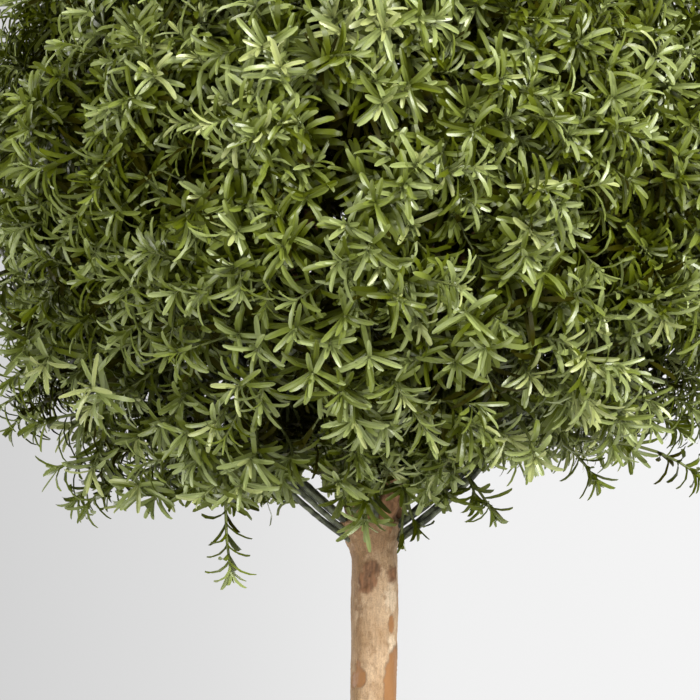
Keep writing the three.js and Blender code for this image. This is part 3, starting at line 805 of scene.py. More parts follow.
def add_boughs(sizes):
    finish = wood_finish(sizes)
    lines = {"leader": LEADER_LINE}
    lines.update({f"upper_{side}": upper_line(azimuth) for side, azimuth in UPPER_MASSES.items()})
    for number, (name, line) in enumerate(lines.items()):
        root, bend, tip = (np.reshape(point, (1, 3)) for point in line)
        thick = sizes.bough_radius * (LEADER_THICKNESS if name == "leader" else 1)
        corners, skin, ends = tubes(root, bend, tip, thick, sizes.bough_tip_radius, BOUGH_SIDES, BOUGH_STEPS)
        lumps = lumpy_noise(corners, 110, 0.8, 4, number)
        rings = corners.reshape(-1, BOUGH_SIDES, 3)
        outwards = unit(rings - rings.mean(1, keepdims=True)).reshape(-1, 3)
        corners = corners + outwards * lumps[:, None] * BOUGH_LUMPS
        bough = mesh_piece(f"limb_{name}", corners, [(skin, 0), (ends, 0)], [finish])
        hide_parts(f"bough_{name}")


# Wires of one bundle: turn in degrees, offset and height at the root, offset and height at the bend.
SPREADING_WIRES = (
    (-2, 0.0150, 0.7500, 0.072, 0.786), (5, 0.0130, 0.7520, 0.070, 0.790), (-5, 0.0130, 0.7575, 0.068, 0.797),
    (1, 0.0130, 0.7590, 0.067, 0.800), (7, 0.0120, 0.7570, 0.069, 0.7945),
)
STEEP_WIRES = (
    (-6, 0.0100, 0.7560, 0.022, 0.796), (4, 0.0100, 0.7580, 0.021, 0.800), (-1, 0.0090, 0.7600, 0.022, 0.806),
)
WIRE_TIP = (0.120, 0.866)  # offset and height
WIRE_SIDES = 12
WIRE_STEPS = 48
WIRE_TAPER = 0.9
WIRE_WANDER = 0.00015  # how far a wire strays from its curve


def add_wires(sizes):
    finish = wire_finish(sizes)
    for side, azimuth in LOWER_MASSES.items():
        bundle = SPREADING_WIRES if side in ("left", "right") else STEEP_WIRES
        root = np.array([head_point(azimuth + turn, out, z) for turn, out, z, _, _ in bundle])
        bend = np.array([head_point(azimuth + turn, out, z) for turn, _, _, out, z in bundle])
        tip = np.array([head_point(azimuth + turn, *WIRE_TIP) for turn, *_ in bundle])
        corners, skin, ends = tubes(root, bend, tip, sizes.wire_radius, sizes.wire_radius * WIRE_TAPER,
                                    WIRE_SIDES, WIRE_STEPS, WIRE_WANDER, azimuth)
        wires = mesh_piece(f"wires_{side}", corners, [(skin, 0), (ends, 0)], [finish])
        middles = corners.reshape(len(bundle), WIRE_STEPS + 1, WIRE_SIDES, 3).mean(2)
        steps = np.linalg.norm(np.diff(middles, axis=1), axis=-1)
        along = np.concatenate((np.zeros((len(bundle), 1)), np.cumsum(steps, 1)), 1)
        paint_points(wires, "along", np.repeat(along, WIRE_SIDES, axis=1).ravel())
        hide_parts(f"bough_lower_{side}")


# ---- growth of the crown ------------------------------------------------------------------------

MASS_NAMES = [
    "crown", *(f"upper_{side}" for side in UPPER_MASSES), *(f"lower_{side}" for side in LOWER_MASSES),
]
MASS_AXES = np.array([
    UP, *(direction(a, UPPER_ELEVATION) for a in UPPER_MASSES.values()),
    *(direction(a, LOWER_ELEVATION) for a in LOWER_MASSES.values()),
])
BOUGH_TIPS = np.array([
    (0, 0, LEADER_TIP_Z), *(upper_line(azimuth)[2] for azimuth in UPPER_MASSES.values()),
    *(head_point(azimuth, *WIRE_TIP) for azimuth in LOWER_MASSES.values()),
])

# Angles from a twig's middle to the edge of the share of the crown that it fills, in radians.
CELL_WIDTH = 0.178
SKIRT_WIDTH = 0.08  # for the sprays that hang under the crown
SKIRT_SPRIGS = 2
PUFF_DEPTH = 0.20  # how far the crown's surface draws in at the edge of that share
SPRIG_TIP_SHARE = 0.985
SPRIG_SPREAD = (0.86, 1.1)  # how unevenly the sprigs stand from their twig
SPRIG_TURN_STRAY = 0.2
SPRIG_REACH = (0.955, 1.0)
SPRIG_ROOT_SHARE = (0.92, 0.42, 0.05)  # along the twig: of the middle sprig, less for the outer ones, stray
SPRIG_ROOT_LIMITS = (0.4, 0.97)
SPRIG_SIDE_BOW = 0.16  # bows and leans are shares of a sprig's span
SPRIG_RISE = 0.16
SPRIG_LEAN = 0.23
WELL_CLEARANCE = 0.0114

# Ages of leaves, from 0 for buds to 5 for the innermost, with painted light mixed in: darker deep in the
# crown and where it draws in, paler on the fringe under it.
AGE_STRAY = 0.35  # of a whole twig, and of each sprig
AGE_START = 0.25
EDGE_PAINTED_SHADE = 1.0  # painted shade: how far the sprigs at the edge of a twig's share, where the crown draws in, move towards the older, darker finishes
FRINGE_PAINTED_LIGHT = 0.7  # painted light from below: how far the fringe moves towards the younger, paler finishes
# Painted light from below: the same for the inner leaves on the fringe's twigs.
TWIG_FRINGE_PAINTED_LIGHT = 1.5
SHOOT_AGE = (0.3, 0.4)  # how much older a side shoot is than its sprig, and its stray
FINISH_AGE_SHIFT = 0.3  # added to a leaf's age and painted light before it is rounded to one of the finishes

# Opposite pairs of leaves from a tip down: distance from the tip, length share, lean in degrees, curl, age.
SPRIG_PAIRS = np.array((
    (0.0003, 0.36, 12, 0.1, 0.0), (0.0012, 0.62, 24, 0.4, 0.2), (0.0028, 0.84, 34, 0.8, 0.5),
    (0.0050, 0.98, 42, 1.0, 0.8), (0.0080, 1.00, 46, 1.1, 1.1), (0.0115, 1.00, 46, 1.1, 1.5),
    (0.0150, 1.00, 46, 1.1, 1.9), (0.0185, 1.00, 46, 1.1, 2.3), (0.0220, 1.00, 46, 1.1, 2.7),
    (0.0255, 1.00, 46, 1.1, 3.0), (0.0292, 0.98, 46, 1.1, 3.3), (0.0330, 0.96, 46, 1.1, 3.6),
    (0.0370, 0.95, 46, 1.0, 3.9), (0.0412, 0.95, 46, 1.0, 4.2), (0.0456, 0.94, 46, 1.0, 4.5),
    (0.0502, 0.92, 46, 1.0, 4.7), (0.0550, 0.90, 46, 1.0, 5.0), (0.0600, 0.90, 46, 1.0, 5.0),
))
SHOOT_PAIRS = SPRIG_PAIRS[:12]  # those of a side shoot
# Painted shade: the inner shoots' leaves all take the darkest finish.
INNER_PAIRS = np.array([(0.004 + 0.0062 * k, 1.15, 58, 0.8, 5.0) for k in range(9)])
INNER_SHOOTS = 6  # to each twig, of old leaves only
INNER_PLACES = (0.25, 0.75)  # shares of the way along a twig between which they start
INNER_LENGTH = 0.055
INNER_THINNING = 0.8  # share of them that the fringe does without
SHOOT_PLACES = (0.50, 0.80)  # shares of the way along a sprig between which its side shoot starts
SHOOT_LENGTH = 0.040
SHOOT_LENGTHS = (0.8, 1.2)
SHOOT_OUT = 0.75  # how far a side shoot stands out, as a share of its span
SHOOT_ALONG = (0.5, 0.8)  # how far it follows its sprig at its bend and at its tip
SHOOT_REACH = 0.965
CROWN_SEED = 23
GROOVED_PAIRS = 6  # pairs from a tip whose leaves show closely enough for a groove
FRINGE_START = (0.30, 0.52)  # how far under the crown's middle its fringe begins
FRINGE_END = (-0.93, -0.78)
FRINGE_LEFT = (-0.3, 0.4)
FRINGE_SAG = 0.8  # how fully its sprigs turn level and hang at their tips
FRINGE_LEAN = 0.3  # share of their lean that those keep
FRINGE_DROOP = 0.014  # how far the sprigs sag on the left, where the crown turns in to its underside
FRINGE_THINNING = 0.75  # share of the sprigs that the fringe does without
FRINGE_NARROWING = 0.14  # how much narrower its leaves are
UNDERSIDE_DEPTH = 0.171  # from the crown's centre to the tips under it
UNDERSIDE_RISE = 0.022  # how much less that is on the right
UNDERSIDE_RIGHT = (0.0, 0.5)  # how far to the right that begins and is complete


def crown_reach(towards):
    """How far the crown reaches from its centre in a direction: a ball with its underside flattened."""
    depth = UNDERSIDE_DEPTH - UNDERSIDE_RISE * smoothstep(towards[..., 0], *UNDERSIDE_RIGHT)
    flat = depth / np.maximum(-towards[..., 2], 1e-6)
    return (CROWN_RADIUS ** -CROWN_EDGE + flat ** -CROWN_EDGE) ** (-1 / CROWN_EDGE)


def grow_twigs():
    """The solid model's twigs: one to each even share of the ball, and those that hang under it."""
    random = seeded(TWIG_SEED)
    towards, length, spin = [], [], []
    for k in range(TWIG_COUNT):
        height = 1 - 2 * (k + 0.5) / TWIG_COUNT
        level = sqrt(1 - height * height)
        straight = np.array((level * cos(k * GOLDEN_ANGLE), level * sin(k * GOLDEN_ANGLE), height))
        side, other = square_to(straight)
        strayed = straight + side * TWIG_WANDER * (2 * next(random) - 1)
        strayed = strayed + other * TWIG_WANDER * (2 * next(random) - 1)
        towards.append(unit(strayed))
        length.append(lerp(1, TWIG_SHORTEST, next(random)))
        spin.append(next(random) * pi)
    for azimuth, elevation, reach in SKIRT_SPRAYS:
        towards.append(direction(azimuth, elevation))
        length.append(reach)
        spin.append(next(random) * pi)
    towards, length, spin = np.array(towards), np.array(length), np.array(spin)
    mass = np.argmax(towards @ MASS_AXES.T, axis=1)
    reach = crown_reach(towards) * length
    root = CROWN_CENTRE + MASS_AXES[mass] * CROWN_RADIUS * TWIG_FORK_SHARE
    turn = CROWN_CENTRE + towards * (reach * TWIG_BEND_SHARE)[:, None]
    widen = (WELL_RADIUS + WELL_CLEARANCE) / np.hypot(turn[:, 0], turn[:, 1])
    turn[:, :2] *= np.where((turn[:, 2] < CROWN_CENTRE[2]) & (widen > 1), widen, 1)[:, None]
    tip = CROWN_CENTRE + towards * (reach * TWIG_TIP_SHARE)[:, None]
    bend = 2 * turn - (root + tip) / 2  # so that the curve passes through its turn
    # Painted light: the fringe's twigs give their inner leaves paler finishes.
    droop = smoothstep(-towards[:, 2], *FRINGE_START)
    return {
        "root": root, "bend": bend, "tip": tip, "mass": mass, "spin": spin, "towards": towards,
        "length": length, "hanging": np.arange(len(towards)) >= TWIG_COUNT,
        "age_and_painted_light": -TWIG_FRINGE_PAINTED_LIGHT * droop, "droop": droop,
    }


def grow_sprigs(twigs, per_twig, rng):
    """The sprigs that fan out from the outer half of each twig and make its puff of the crown."""
    count = len(twigs["root"])
    k = np.arange(per_twig)
    spread = np.sqrt((k + 0.5) / per_twig) * rng.uniform(*SPRIG_SPREAD, (count, per_twig))
    turn = k * GOLDEN_ANGLE + twigs["spin"][:, None] + rng.normal(0, SPRIG_TURN_STRAY, (count, per_twig))
    side, other = square_to(twigs["towards"])
    fan = side[:, None] * np.cos(turn)[..., None] + other[:, None] * np.sin(turn)[..., None]
    width = np.where(twigs["hanging"], SKIRT_WIDTH, CELL_WIDTH)[:, None]
    towards = unit(twigs["towards"][:, None] + fan * (width * spread)[..., None])
    reach = crown_reach(towards) * twigs["length"][:, None] * (1 - PUFF_DEPTH * spread ** 2)
    reach = reach * SPRIG_TIP_SHARE * rng.uniform(*SPRIG_REACH, (count, per_twig))
    tip = CROWN_CENTRE + towards * reach[..., None]
    fringe = smoothstep(-towards[..., 2], *FRINGE_START) * smoothstep(towards[..., 2], *FRINGE_END)
    leftness = smoothstep(-towards[..., 0], *FRINGE_LEFT)
    tip = tip - UP * (FRINGE_DROOP * fringe * leftness)[..., None]
    middle_share, less, stray = SPRIG_ROOT_SHARE
    share = middle_share - less * spread + rng.normal(0, stray, spread.shape)
    root, _ = arc_points(twigs["root"], twigs["bend"], twigs["tip"], np.clip(share, *SPRIG_ROOT_LIMITS))
    way = tip - root
    span = np.linalg.norm(way, axis=-1, keepdims=True)
    sideways = fan * (spread * SPRIG_SIDE_BOW)[..., None] * span
    lean = rng.normal(0, SPRIG_LEAN, way.shape) * span
    bend = root + 0.5 * way + sideways + lean + UP * SPRIG_RISE * span
    level = unit(towards * (1, 1, 0))
    bend = lerp(bend, tip - level * span * 0.5 + lean * FRINGE_LEAN, FRINGE_SAG * fringe[..., None])
    age_and_painted_light = np.broadcast_to(rng.normal(0, AGE_STRAY, (count, 1)), spread.shape)
    age_and_painted_light = age_and_painted_light + rng.normal(0, AGE_STRAY, spread.shape)
    # Painted shade: sprigs at a puff's edge, where the crown draws in, take darker finishes.
    sprigs = {
        "root": root.reshape(-1, 3), "bend": bend.reshape(-1, 3), "tip": tip.reshape(-1, 3),
        "mass": np.repeat(twigs["mass"], per_twig), "droop": fringe.ravel(),
        # Painted light: the fringe's sprigs take paler finishes.
        "age_and_painted_light": (age_and_painted_light + EDGE_PAINTED_SHADE * spread ** 2 + AGE_START - FRINGE_PAINTED_LIGHT * fringe).ravel(),
    }
    dropped = np.repeat(twigs["hanging"], per_twig) & (np.tile(k, count) >= SKIRT_SPRIGS)
    dropped |= rng.random(len(dropped)) < FRINGE_THINNING * fringe.ravel()
    return kept_rows(sprigs, ~dropped)


def grow_shoots(sprigs, places, length, rng):
    """One side shoot on each sprig, somewhere between two shares of its way along."""
    count = len(sprigs["root"])
    share = rng.uniform(*places, (count, 1))
    root, along = arc_points(sprigs["root"], sprigs["bend"], sprigs["tip"], share)
    root, along = root[:, 0], along[:, 0]
    side, other = square_to(along)
    turn = rng.random((count, 1)) * 2 * pi
    out = (side * np.cos(turn) + other * np.sin(turn)) * SHOOT_OUT
    span = length * rng.uniform(*SHOOT_LENGTHS, (count, 1))
    at_bend, at_tip = SHOOT_ALONG
    bend = root + (at_bend * along + out) * span * 0.5
    tip = root + (at_tip * along + out) * span
    away = tip - CROWN_CENTRE
    far = np.linalg.norm(away, axis=-1, keepdims=True)
    most = crown_reach(away / far)[:, None] * SHOOT_REACH
    tip = CROWN_CENTRE + away / far * np.minimum(far, most)
    return {
        "root": root, "bend": bend, "tip": tip, "mass": sprigs["mass"], "droop": sprigs["droop"],
        "age_and_painted_light": sprigs["age_and_painted_light"] + rng.normal(*SHOOT_AGE, count),
    }


LEAF_TURN_STRAY = 0.15  # strays and roll are in radians
LEAF_LEAN_STRAY = 0.15
LEAF_WAY_STRAY = 0.09
LEAF_ROLL = 0.3
LEAF_SAG = (0.08, 0.30)  # how far leaves sag everywhere, and how much further on the fringe
LEAF_LENGTHS = (0.86, 1.1)
LEAF_WIDTHS = (0.88, 1.1)
LEAF_CURL_STRAY = 0.28
LEAF_AGE_STRAY = 0.25
LEAFLESS_SHARE = 0.1  # of a shoot, at its root


def place_leaves(shoots, pairs, grooved_pairs, sizes, rng, slender=1.0):
    """The leaves of shoots in opposite pairs, each pair a quarter turn from the next."""
    count, rows = len(shoots["root"]), len(pairs)
    root, bend, tip = shoots["root"], shoots["bend"], shoots["tip"]
    span = np.linalg.norm(bend - root, axis=-1) + np.linalg.norm(tip - bend, axis=-1)
    share = 1 - pairs[:, 0] / span[:, None]
    middle, along = arc_points(root, bend, tip, np.clip(share, 0, 1))
    helper, _ = square_to(along[:, -1:])
    side = unit(helper - along * np.sum(helper * along, -1, keepdims=True))
    other = np.cross(along, side)
    turn = rng.random((count, 1)) * pi + np.arange(rows) * pi / 2
    turn = turn + rng.normal(0, LEAF_TURN_STRAY, (count, rows))
    out = side * np.cos(turn)[..., None] + other * np.sin(turn)[..., None]
    broad = sizes.leaf_width / slender * (1 - FRINGE_NARROWING * shoots["droop"])[:, None]
    sag, fringe_sag = LEAF_SAG
    sagging = UP * (sag + fringe_sag * shoots["droop"])[:, None, None]
    halves = []
    for half in (1, -1):
        lean = np.radians(pairs[:, 2]) + rng.normal(0, LEAF_LEAN_STRAY, (count, rows))
        way = along * np.cos(lean)[..., None] + half * out * np.sin(lean)[..., None]
        way = unit(way + rng.normal(0, LEAF_WAY_STRAY, way.shape) - sagging)
        face = unit(along - way * np.sum(along * way, -1, keepdims=True))
        roll = rng.normal(0, LEAF_ROLL, (count, rows, 1))
        face = face * np.cos(roll) + np.cross(way, face) * np.sin(roll)
        age_and_painted_light = pairs[:, 4] + shoots["age_and_painted_light"][:, None] + rng.normal(0, LEAF_AGE_STRAY, (count, rows))
        length = sizes.leaf_length * slender * pairs[:, 1] * rng.uniform(*LEAF_LENGTHS, (count, rows))
        halves.append({
            "root": middle, "along": way, "face": face, "age_and_painted_light": age_and_painted_light, "length": length,
            "width": broad * np.sqrt(pairs[:, 1]) * rng.uniform(*LEAF_WIDTHS, (count, rows)),
            "curl": pairs[:, 3] + rng.normal(0, LEAF_CURL_STRAY, (count, rows)),
            "mass": np.broadcast_to(shoots["mass"][:, None], (count, rows)),
            "grooved": np.broadcast_to(np.arange(rows) < grooved_pairs, (count, rows)),
        })
    grown = share > LEAFLESS_SHARE
    return join_rows([kept_rows(half, grown) for half in halves])


# ---- open places and placed sprays --------------------------------------------------------------

# The open places under the crown, seen from in front: how high above the ground they reach along X.
EYE = np.array((VIEW_SIDE, -VIEW_DISTANCE, VIEW_HEIGHT))
WIRE_WEDGE = (  # beside the fork, where the wires show
    (-0.0500, 0.7700), (-0.0476, 0.7800), (-0.0428, 0.7920), (-0.0386, 0.7950), (-0.0343, 0.7900),
    (-0.0277, 0.7760), (-0.0200, 0.7700),
)
POLE_HEAD_SPACE = ((-0.0200, 0.7690), (0.0040, 0.7700), (0.0080, 0.7860), (0.0200, 0.7860), (0.0210, 0.7640))
RIGHT_WIRE_SPACE = ((0.0165, 0.7610), (0.0500, 0.7870), (0.0620, 0.7870), (0.0900, 0.7840))
CROWN_FLOOR = (
    (-0.3000, 0.8160), (-0.2160, 0.8160), (-0.1960, 0.7840), (-0.1780, 0.7640), (-0.1300, 0.7700),
    (-0.0500, 0.7660), (0.0900, 0.7800), (0.1750, 0.7850), (0.1980, 0.7980), (0.3000, 0.8040),
)
POLE_CLEARANCE = 0.024  # from the pole's axis to the nearest leaves
POLE_CLEARANCE_TOP = 0.80  # height up to which that holds


def in_open_place(points):
    """True for points in an open place, under the crown's floor or near the pole."""
    nearer = EYE[1] / (EYE[1] - points[:, 1])
    x = EYE[0] + (points[:, 0] - EYE[0]) * nearer
    z = EYE[2] + (points[:, 2] - EYE[2]) * nearer
    found = (np.hypot(points[:, 0], points[:, 1]) < POLE_CLEARANCE) & (points[:, 2] < POLE_CLEARANCE_TOP)
    for outline in (WIRE_WEDGE, POLE_HEAD_SPACE, RIGHT_WIRE_SPACE, CROWN_FLOOR):
        found |= z < np.interp(x, *np.array(outline).T, left=0, right=0)
    return found


# Sprays that hang free of the crown or fill its edge: root, bend, tip, mass, age with painted light mixed in,
# pairs of leaves.
PLACED_SPRAYS = (
    ((-0.078, -0.080, 0.817), (-0.092, -0.128, 0.790), (-0.0835, -0.128, 0.7370), "lower_left", 0.2, 15),
    ((0.006, -0.018, 0.800), (0.000, -0.052, 0.792), (-0.006, -0.078, 0.7765), "lower_front", 2.0, 13),
    ((0.002, -0.018, 0.795), (-0.002, -0.050, 0.780), (-0.0068, -0.072, 0.7640), "lower_front", 0.4, 8),
    ((0.030, -0.030, 0.813), (0.026, -0.056, 0.807), (0.0245, -0.070, 0.7900), "lower_right", 0.4, 8),
    ((0.035, -0.035, 0.812), (0.042, -0.064, 0.806), (0.0445, -0.078, 0.7920), "lower_right", 0.6, 8),
    ((0.030, -0.030, 0.806), (0.031, -0.060, 0.800), (0.0300, -0.074, 0.7810), "lower_right", 0.3, 10),
    ((0.034, -0.030, 0.800), (0.040, -0.056, 0.794), (0.0410, -0.066, 0.7800), "lower_right", 1.9, 8),
    ((0.046, -0.030, 0.800), (0.055, -0.050, 0.795), (0.0595, -0.060, 0.7770), "lower_right", 1.7, 7),
    ((-0.006, -0.018, 0.800), (-0.016, -0.040, 0.792), (-0.019, -0.055, 0.778), "lower_front", 1.7, 9),
    ((0.012, -0.016, 0.800), (0.022, -0.040, 0.792), (0.016, -0.062, 0.783), "lower_front", 1.8, 9),
    ((0.019, -0.010, 0.785), (0.0170, -0.013, 0.772), (0.0160, -0.016, 0.7530), "lower_right", 1.7, 3),
    ((0.020, -0.010, 0.780), (0.0190, -0.013, 0.770), (0.0250, -0.013, 0.7590), "lower_right", 2.1, 4),
    ((0.046, -0.030, 0.798), (0.058, -0.052, 0.790), (0.0690, -0.060, 0.7690), "lower_right", 1.5, 7),
    ((0.090, -0.040, 0.822), (0.114, -0.060, 0.814), (0.1300, -0.064, 0.7880), "lower_right", 1.3, 9),
    ((0.120, -0.030, 0.812), (0.165, -0.045, 0.812), (0.1915, -0.050, 0.7910), "lower_right", 1.5, 13),
    ((0.080, -0.110, 0.826), (0.088, -0.140, 0.820), (0.0895, -0.165, 0.8040), "lower_right", -0.3, 8),
    ((0.120, -0.040, 0.850), (0.165, -0.052, 0.848), (0.1880, -0.056, 0.8300), "lower_right", 0.4, 17),
    ((0.125, -0.020, 0.862), (0.172, -0.028, 0.862), (0.1960, -0.032, 0.8450), "lower_right", 0.8, 17),
    ((0.120, -0.010, 0.842), (0.162, -0.016, 0.836), (0.1830, -0.020, 0.8170), "lower_right", 1.2, 17),
    ((0.130, 0.010, 0.856), (0.180, 0.014, 0.852), (0.2020, 0.016, 0.8330), "lower_right", 1.0, 17),
    ((-0.130, -0.040, 0.806), (-0.153, -0.055, 0.796), (-0.1710, -0.060, 0.7720), "lower_left", 0.9, 12),
    ((-0.130, -0.030, 0.812), (-0.158, -0.040, 0.802), (-0.1780, -0.045, 0.7750), "lower_left", 1.0, 12),
    ((-0.140, -0.050, 0.828), (-0.180, -0.060, 0.830), (-0.2010, -0.062, 0.8210), "lower_left", 0.9, 14),
    ((-0.110, -0.050, 0.817), (-0.150, -0.060, 0.804), (-0.1880, -0.062, 0.7960), "lower_left", 1.1, 17),
    ((-0.100, -0.040, 0.806), (-0.135, -0.050, 0.796), (-0.1580, -0.052, 0.7830), "lower_left", 0.3, 12),
    ((-0.046, 0.000, 0.773), (-0.0585, 0.000, 0.7755), (-0.0588, 0.000, 0.7650), "lower_left", 1.7, 0),
    ((-0.105, -0.060, 0.804), (-0.119, -0.075, 0.796), (-0.1310, -0.080, 0.7750), "lower_left", 0.7, 10),
    ((-0.150, -0.020, 1.015), (-0.192, -0.026, 1.048), (-0.2140, -0.030, 1.0640), "upper_left", 0.8, 16),
    ((-0.150, -0.010, 1.010), (-0.198, -0.014, 1.030), (-0.2240, -0.016, 1.0440), "upper_left", 1.0, 16),
    ((-0.140, 0.010, 1.020), (-0.178, 0.014, 1.060), (-0.1990, 0.016, 1.0820), "upper_left", 0.6, 16),
    ((-0.145, -0.030, 0.880), (-0.190, -0.045, 0.866), (-0.2160, -0.050, 0.8480), "lower_left", 1.0, 16),
    ((-0.140, 0.000, 0.870), (-0.182, 0.008, 0.854), (-0.2080, 0.012, 0.8360), "lower_left", 1.4, 16),
    ((-0.140, -0.030, 1.025), (-0.185, -0.040, 1.060), (-0.2100, -0.044, 1.0740), "upper_left", 0.4, 16),
    ((-0.130, -0.010, 1.035), (-0.172, -0.014, 1.076), (-0.1960, -0.016, 1.0920), "upper_left", 0.9, 16),
    ((-0.145, 0.010, 1.010), (-0.196, 0.014, 1.040), (-0.2230, 0.016, 1.0560), "upper_left", 1.3, 16),
    ((-0.145, -0.014, 1.020), (-0.192, -0.018, 1.056), (-0.2180, -0.020, 1.0720), "upper_left", 0.6, 16),
    ((-0.150, 0.000, 1.005), (-0.202, -0.006, 1.030), (-0.2290, -0.008, 1.0460), "upper_left", 1.0, 16),
    ((-0.150, -0.020, 0.862), (-0.198, -0.028, 0.850), (-0.2240, -0.030, 0.8310), "lower_left", 0.8, 16),
    ((-0.150, -0.010, 0.856), (-0.194, -0.018, 0.842), (-0.2170, -0.020, 0.8200), "lower_left", 1.2, 16),
    ((0.150, -0.020, 1.030), (0.180, -0.025, 1.055), (0.2030, -0.030, 1.0760), "upper_right", 0.8, 16),
    ((-0.060, -0.110, 0.845), (-0.082, -0.155, 0.842), (-0.0916, -0.175, 0.8233), "lower_front", -0.3, 12),
    ((-0.100, -0.060, 0.858), (-0.130, -0.086, 0.856), (-0.1416, -0.100, 0.8406), "lower_left", -0.2, 12),
    ((-0.080, -0.080, 0.850), (-0.102, -0.112, 0.848), (-0.1125, -0.130, 0.8363), "lower_left", 0.9, 14),
    ((-0.090, -0.070, 0.838), (-0.114, -0.096, 0.834), (-0.1249, -0.110, 0.8216), "lower_left", 0.3, 16),
    ((-0.020, -0.120, 0.880), (-0.022, -0.175, 0.884), (-0.0261, -0.215, 0.8678), "lower_front", 0.3, 18),
    ((-0.025, -0.120, 0.870), (-0.034, -0.175, 0.870), (-0.0360, -0.215, 0.8510), "lower_front", 0.9, 18),
    ((-0.015, -0.120, 0.890), (-0.016, -0.175, 0.898), (-0.0178, -0.218, 0.8830), "lower_front", 1.2, 18),
    ((-0.025, -0.120, 0.880), (-0.038, -0.172, 0.890), (-0.0460, -0.208, 0.8760), "lower_front", 0.6, 18),
    ((-0.018, -0.120, 0.862), (-0.022, -0.172, 0.858), (-0.0200, -0.206, 0.8400), "lower_front", 1.4, 18),
    ((-0.010, -0.120, 0.876), (-0.006, -0.172, 0.878), (-0.0040, -0.210, 0.8600), "lower_front", 0.8, 18),
)


LONG_SPRAY = 16  # pairs of leaves from which a placed spray has leaves of full length
SHORT_LEAF_SHARE = 0.86
SPRAY_TIP_PAIRS = 6  # pairs that even a short spray keeps
SPRAY_DROOP = 0.4


def placed_sprays():
    """The placed sprays as shoots, in groups that have as many pairs of leaves."""
    keys = ("root", "bend", "tip", "mass", "age_and_painted_light")
    groups = {}
    for *places, mass, age_and_painted_light, pairs in PLACED_SPRAYS:
        groups.setdefault(pairs, []).append((*places, MASS_NAMES.index(mass), age_and_painted_light))
    sprays = {}
    for pairs, rows in groups.items():
        sprays[pairs] = {key: np.array(column) for key, column in zip(keys, zip(*rows))}
        sprays[pairs]["droop"] = np.full(len(rows), SPRAY_DROOP)
    return sprays


def spray_pairs(pairs):
    """The pairs of leaves of a placed spray. A short one does without every second older pair."""
    rows = np.arange(pairs)
    if pairs < LONG_SPRAY:
        rows = rows[(rows < SPRAY_TIP_PAIRS) | (rows % 2 == 1)]
    return SPRIG_PAIRS[rows]


def spray_leaf_share(pairs, mass):
    """Length share of the leaves on placed sprays. The short ones at the sides have short leaves."""
    full = (mass == MASS_NAMES.index("lower_front")) | (pairs >= LONG_SPRAY)
    return np.where(full, 1.0, SHORT_LEAF_SHARE)[:, None]


def grow_crown(sizes):
    """The whole crown's twigs, sprigs and shoots, and their leaves."""
    rng = np.random.default_rng(CROWN_SEED)
    twigs = grow_twigs()
    sprigs = grow_sprigs(twigs, sizes.sprigs, rng)
    sprigs = kept_rows(sprigs, ~in_open_place(sprigs["tip"]))
    shoots = grow_shoots(sprigs, SHOOT_PLACES, SHOOT_LENGTH, rng)
    shoots = kept_rows(shoots, ~in_open_place(shoots["tip"]))
    inner = join_rows([grow_shoots(twigs, INNER_PLACES, INNER_LENGTH, rng) for _ in range(INNER_SHOOTS)])
    thinned = rng.random(len(inner["root"])) < INNER_THINNING * inner["droop"]
    inner = kept_rows(inner, ~in_open_place(inner["tip"]) & ~thinned)
    leaves = join_rows([
        place_leaves(sprigs, SPRIG_PAIRS, GROOVED_PAIRS, sizes, rng),
        place_leaves(shoots, SHOOT_PAIRS, GROOVED_PAIRS, sizes, rng),
        place_leaves(inner, INNER_PAIRS, 0, sizes, rng),
    ])
    tips = leaves["root"] + leaves["along"] * leaves["length"][:, None]
    middles = (tips + leaves["root"]) / 2
    in_the_way = in_open_place(tips) | in_open_place(middles) | in_open_place(leaves["root"])
    placed = placed_sprays()
    extra = [
        place_leaves(group, spray_pairs(pairs), pairs, sizes, rng, spray_leaf_share(pairs, group["mass"]))
        for pairs, group in placed.items()
    ]
    stems = {
        "twigs": twigs, "sprigs": join_rows([sprigs, *placed.values()]), "shoots": join_rows([shoots, inner]),
    }
    return stems, join_rows([kept_rows(leaves, ~in_the_way), *extra])


# ---- leaves and twigs ---------------------------------------------------------------------------

# Rows of corners along a leaf: share of its length, share of half its width.
GROOVED_ROWS = np.array(((0.0, 0.42), (0.22, 0.82), (0.52, 1.0), (0.80, 0.96), (0.955, 0.62)))
PLAIN_ROWS = np.array(((0.0, 0.42), (0.30, 0.90), (0.72, 1.0), (0.95, 0.64)))
LEAF_GROOVE = 0.55  # how far the edges stand above the middle, as a share of half the width
PLAIN_ACROSS = (1, -1)  # corners across a leaf, as shares of half its width
GROOVED_ACROSS = (1, 0, 0, -1)  # the middle counts twice, which keeps the groove crisp
LEAST_CURL = 0.02
LEAF_ROUGHNESS = 0.36


def leaf_corners(leaves, lengthwise, across):
    """The corners of every leaf: rows across it along a curl, and a tip."""
    along, face = leaves["along"][:, None], leaves["face"][:, None]
    side = np.cross(along, face)
    curl = leaves["curl"][:, None]
    curl = np.where(np.abs(curl) < LEAST_CURL, LEAST_CURL, curl)
    share = np.append(lengthwise[:, 0], 1.0)
    bent = curl * share
    forward, down = (np.sin(bent) / curl)[..., None], ((1 - np.cos(bent)) / curl)[..., None]
    length = leaves["length"][:, None, None]
    middle = leaves["root"][:, None] + length * (along * forward - face * down)
    above = face * np.cos(bent)[..., None] + along * np.sin(bent)[..., None]
    half = (leaves["width"][:, None] / 2 * lengthwise[:, 1])[..., None]
    middle, above, tip = middle[:, :-1], above[:, :-1], middle[:, -1:]
    rows = np.stack([
        middle + side * half * step + above * half * LEAF_GROOVE * abs(step) for step in across
    ], 2)
    return np.concatenate((rows.reshape(len(rows), -1, 3), tip), 1)


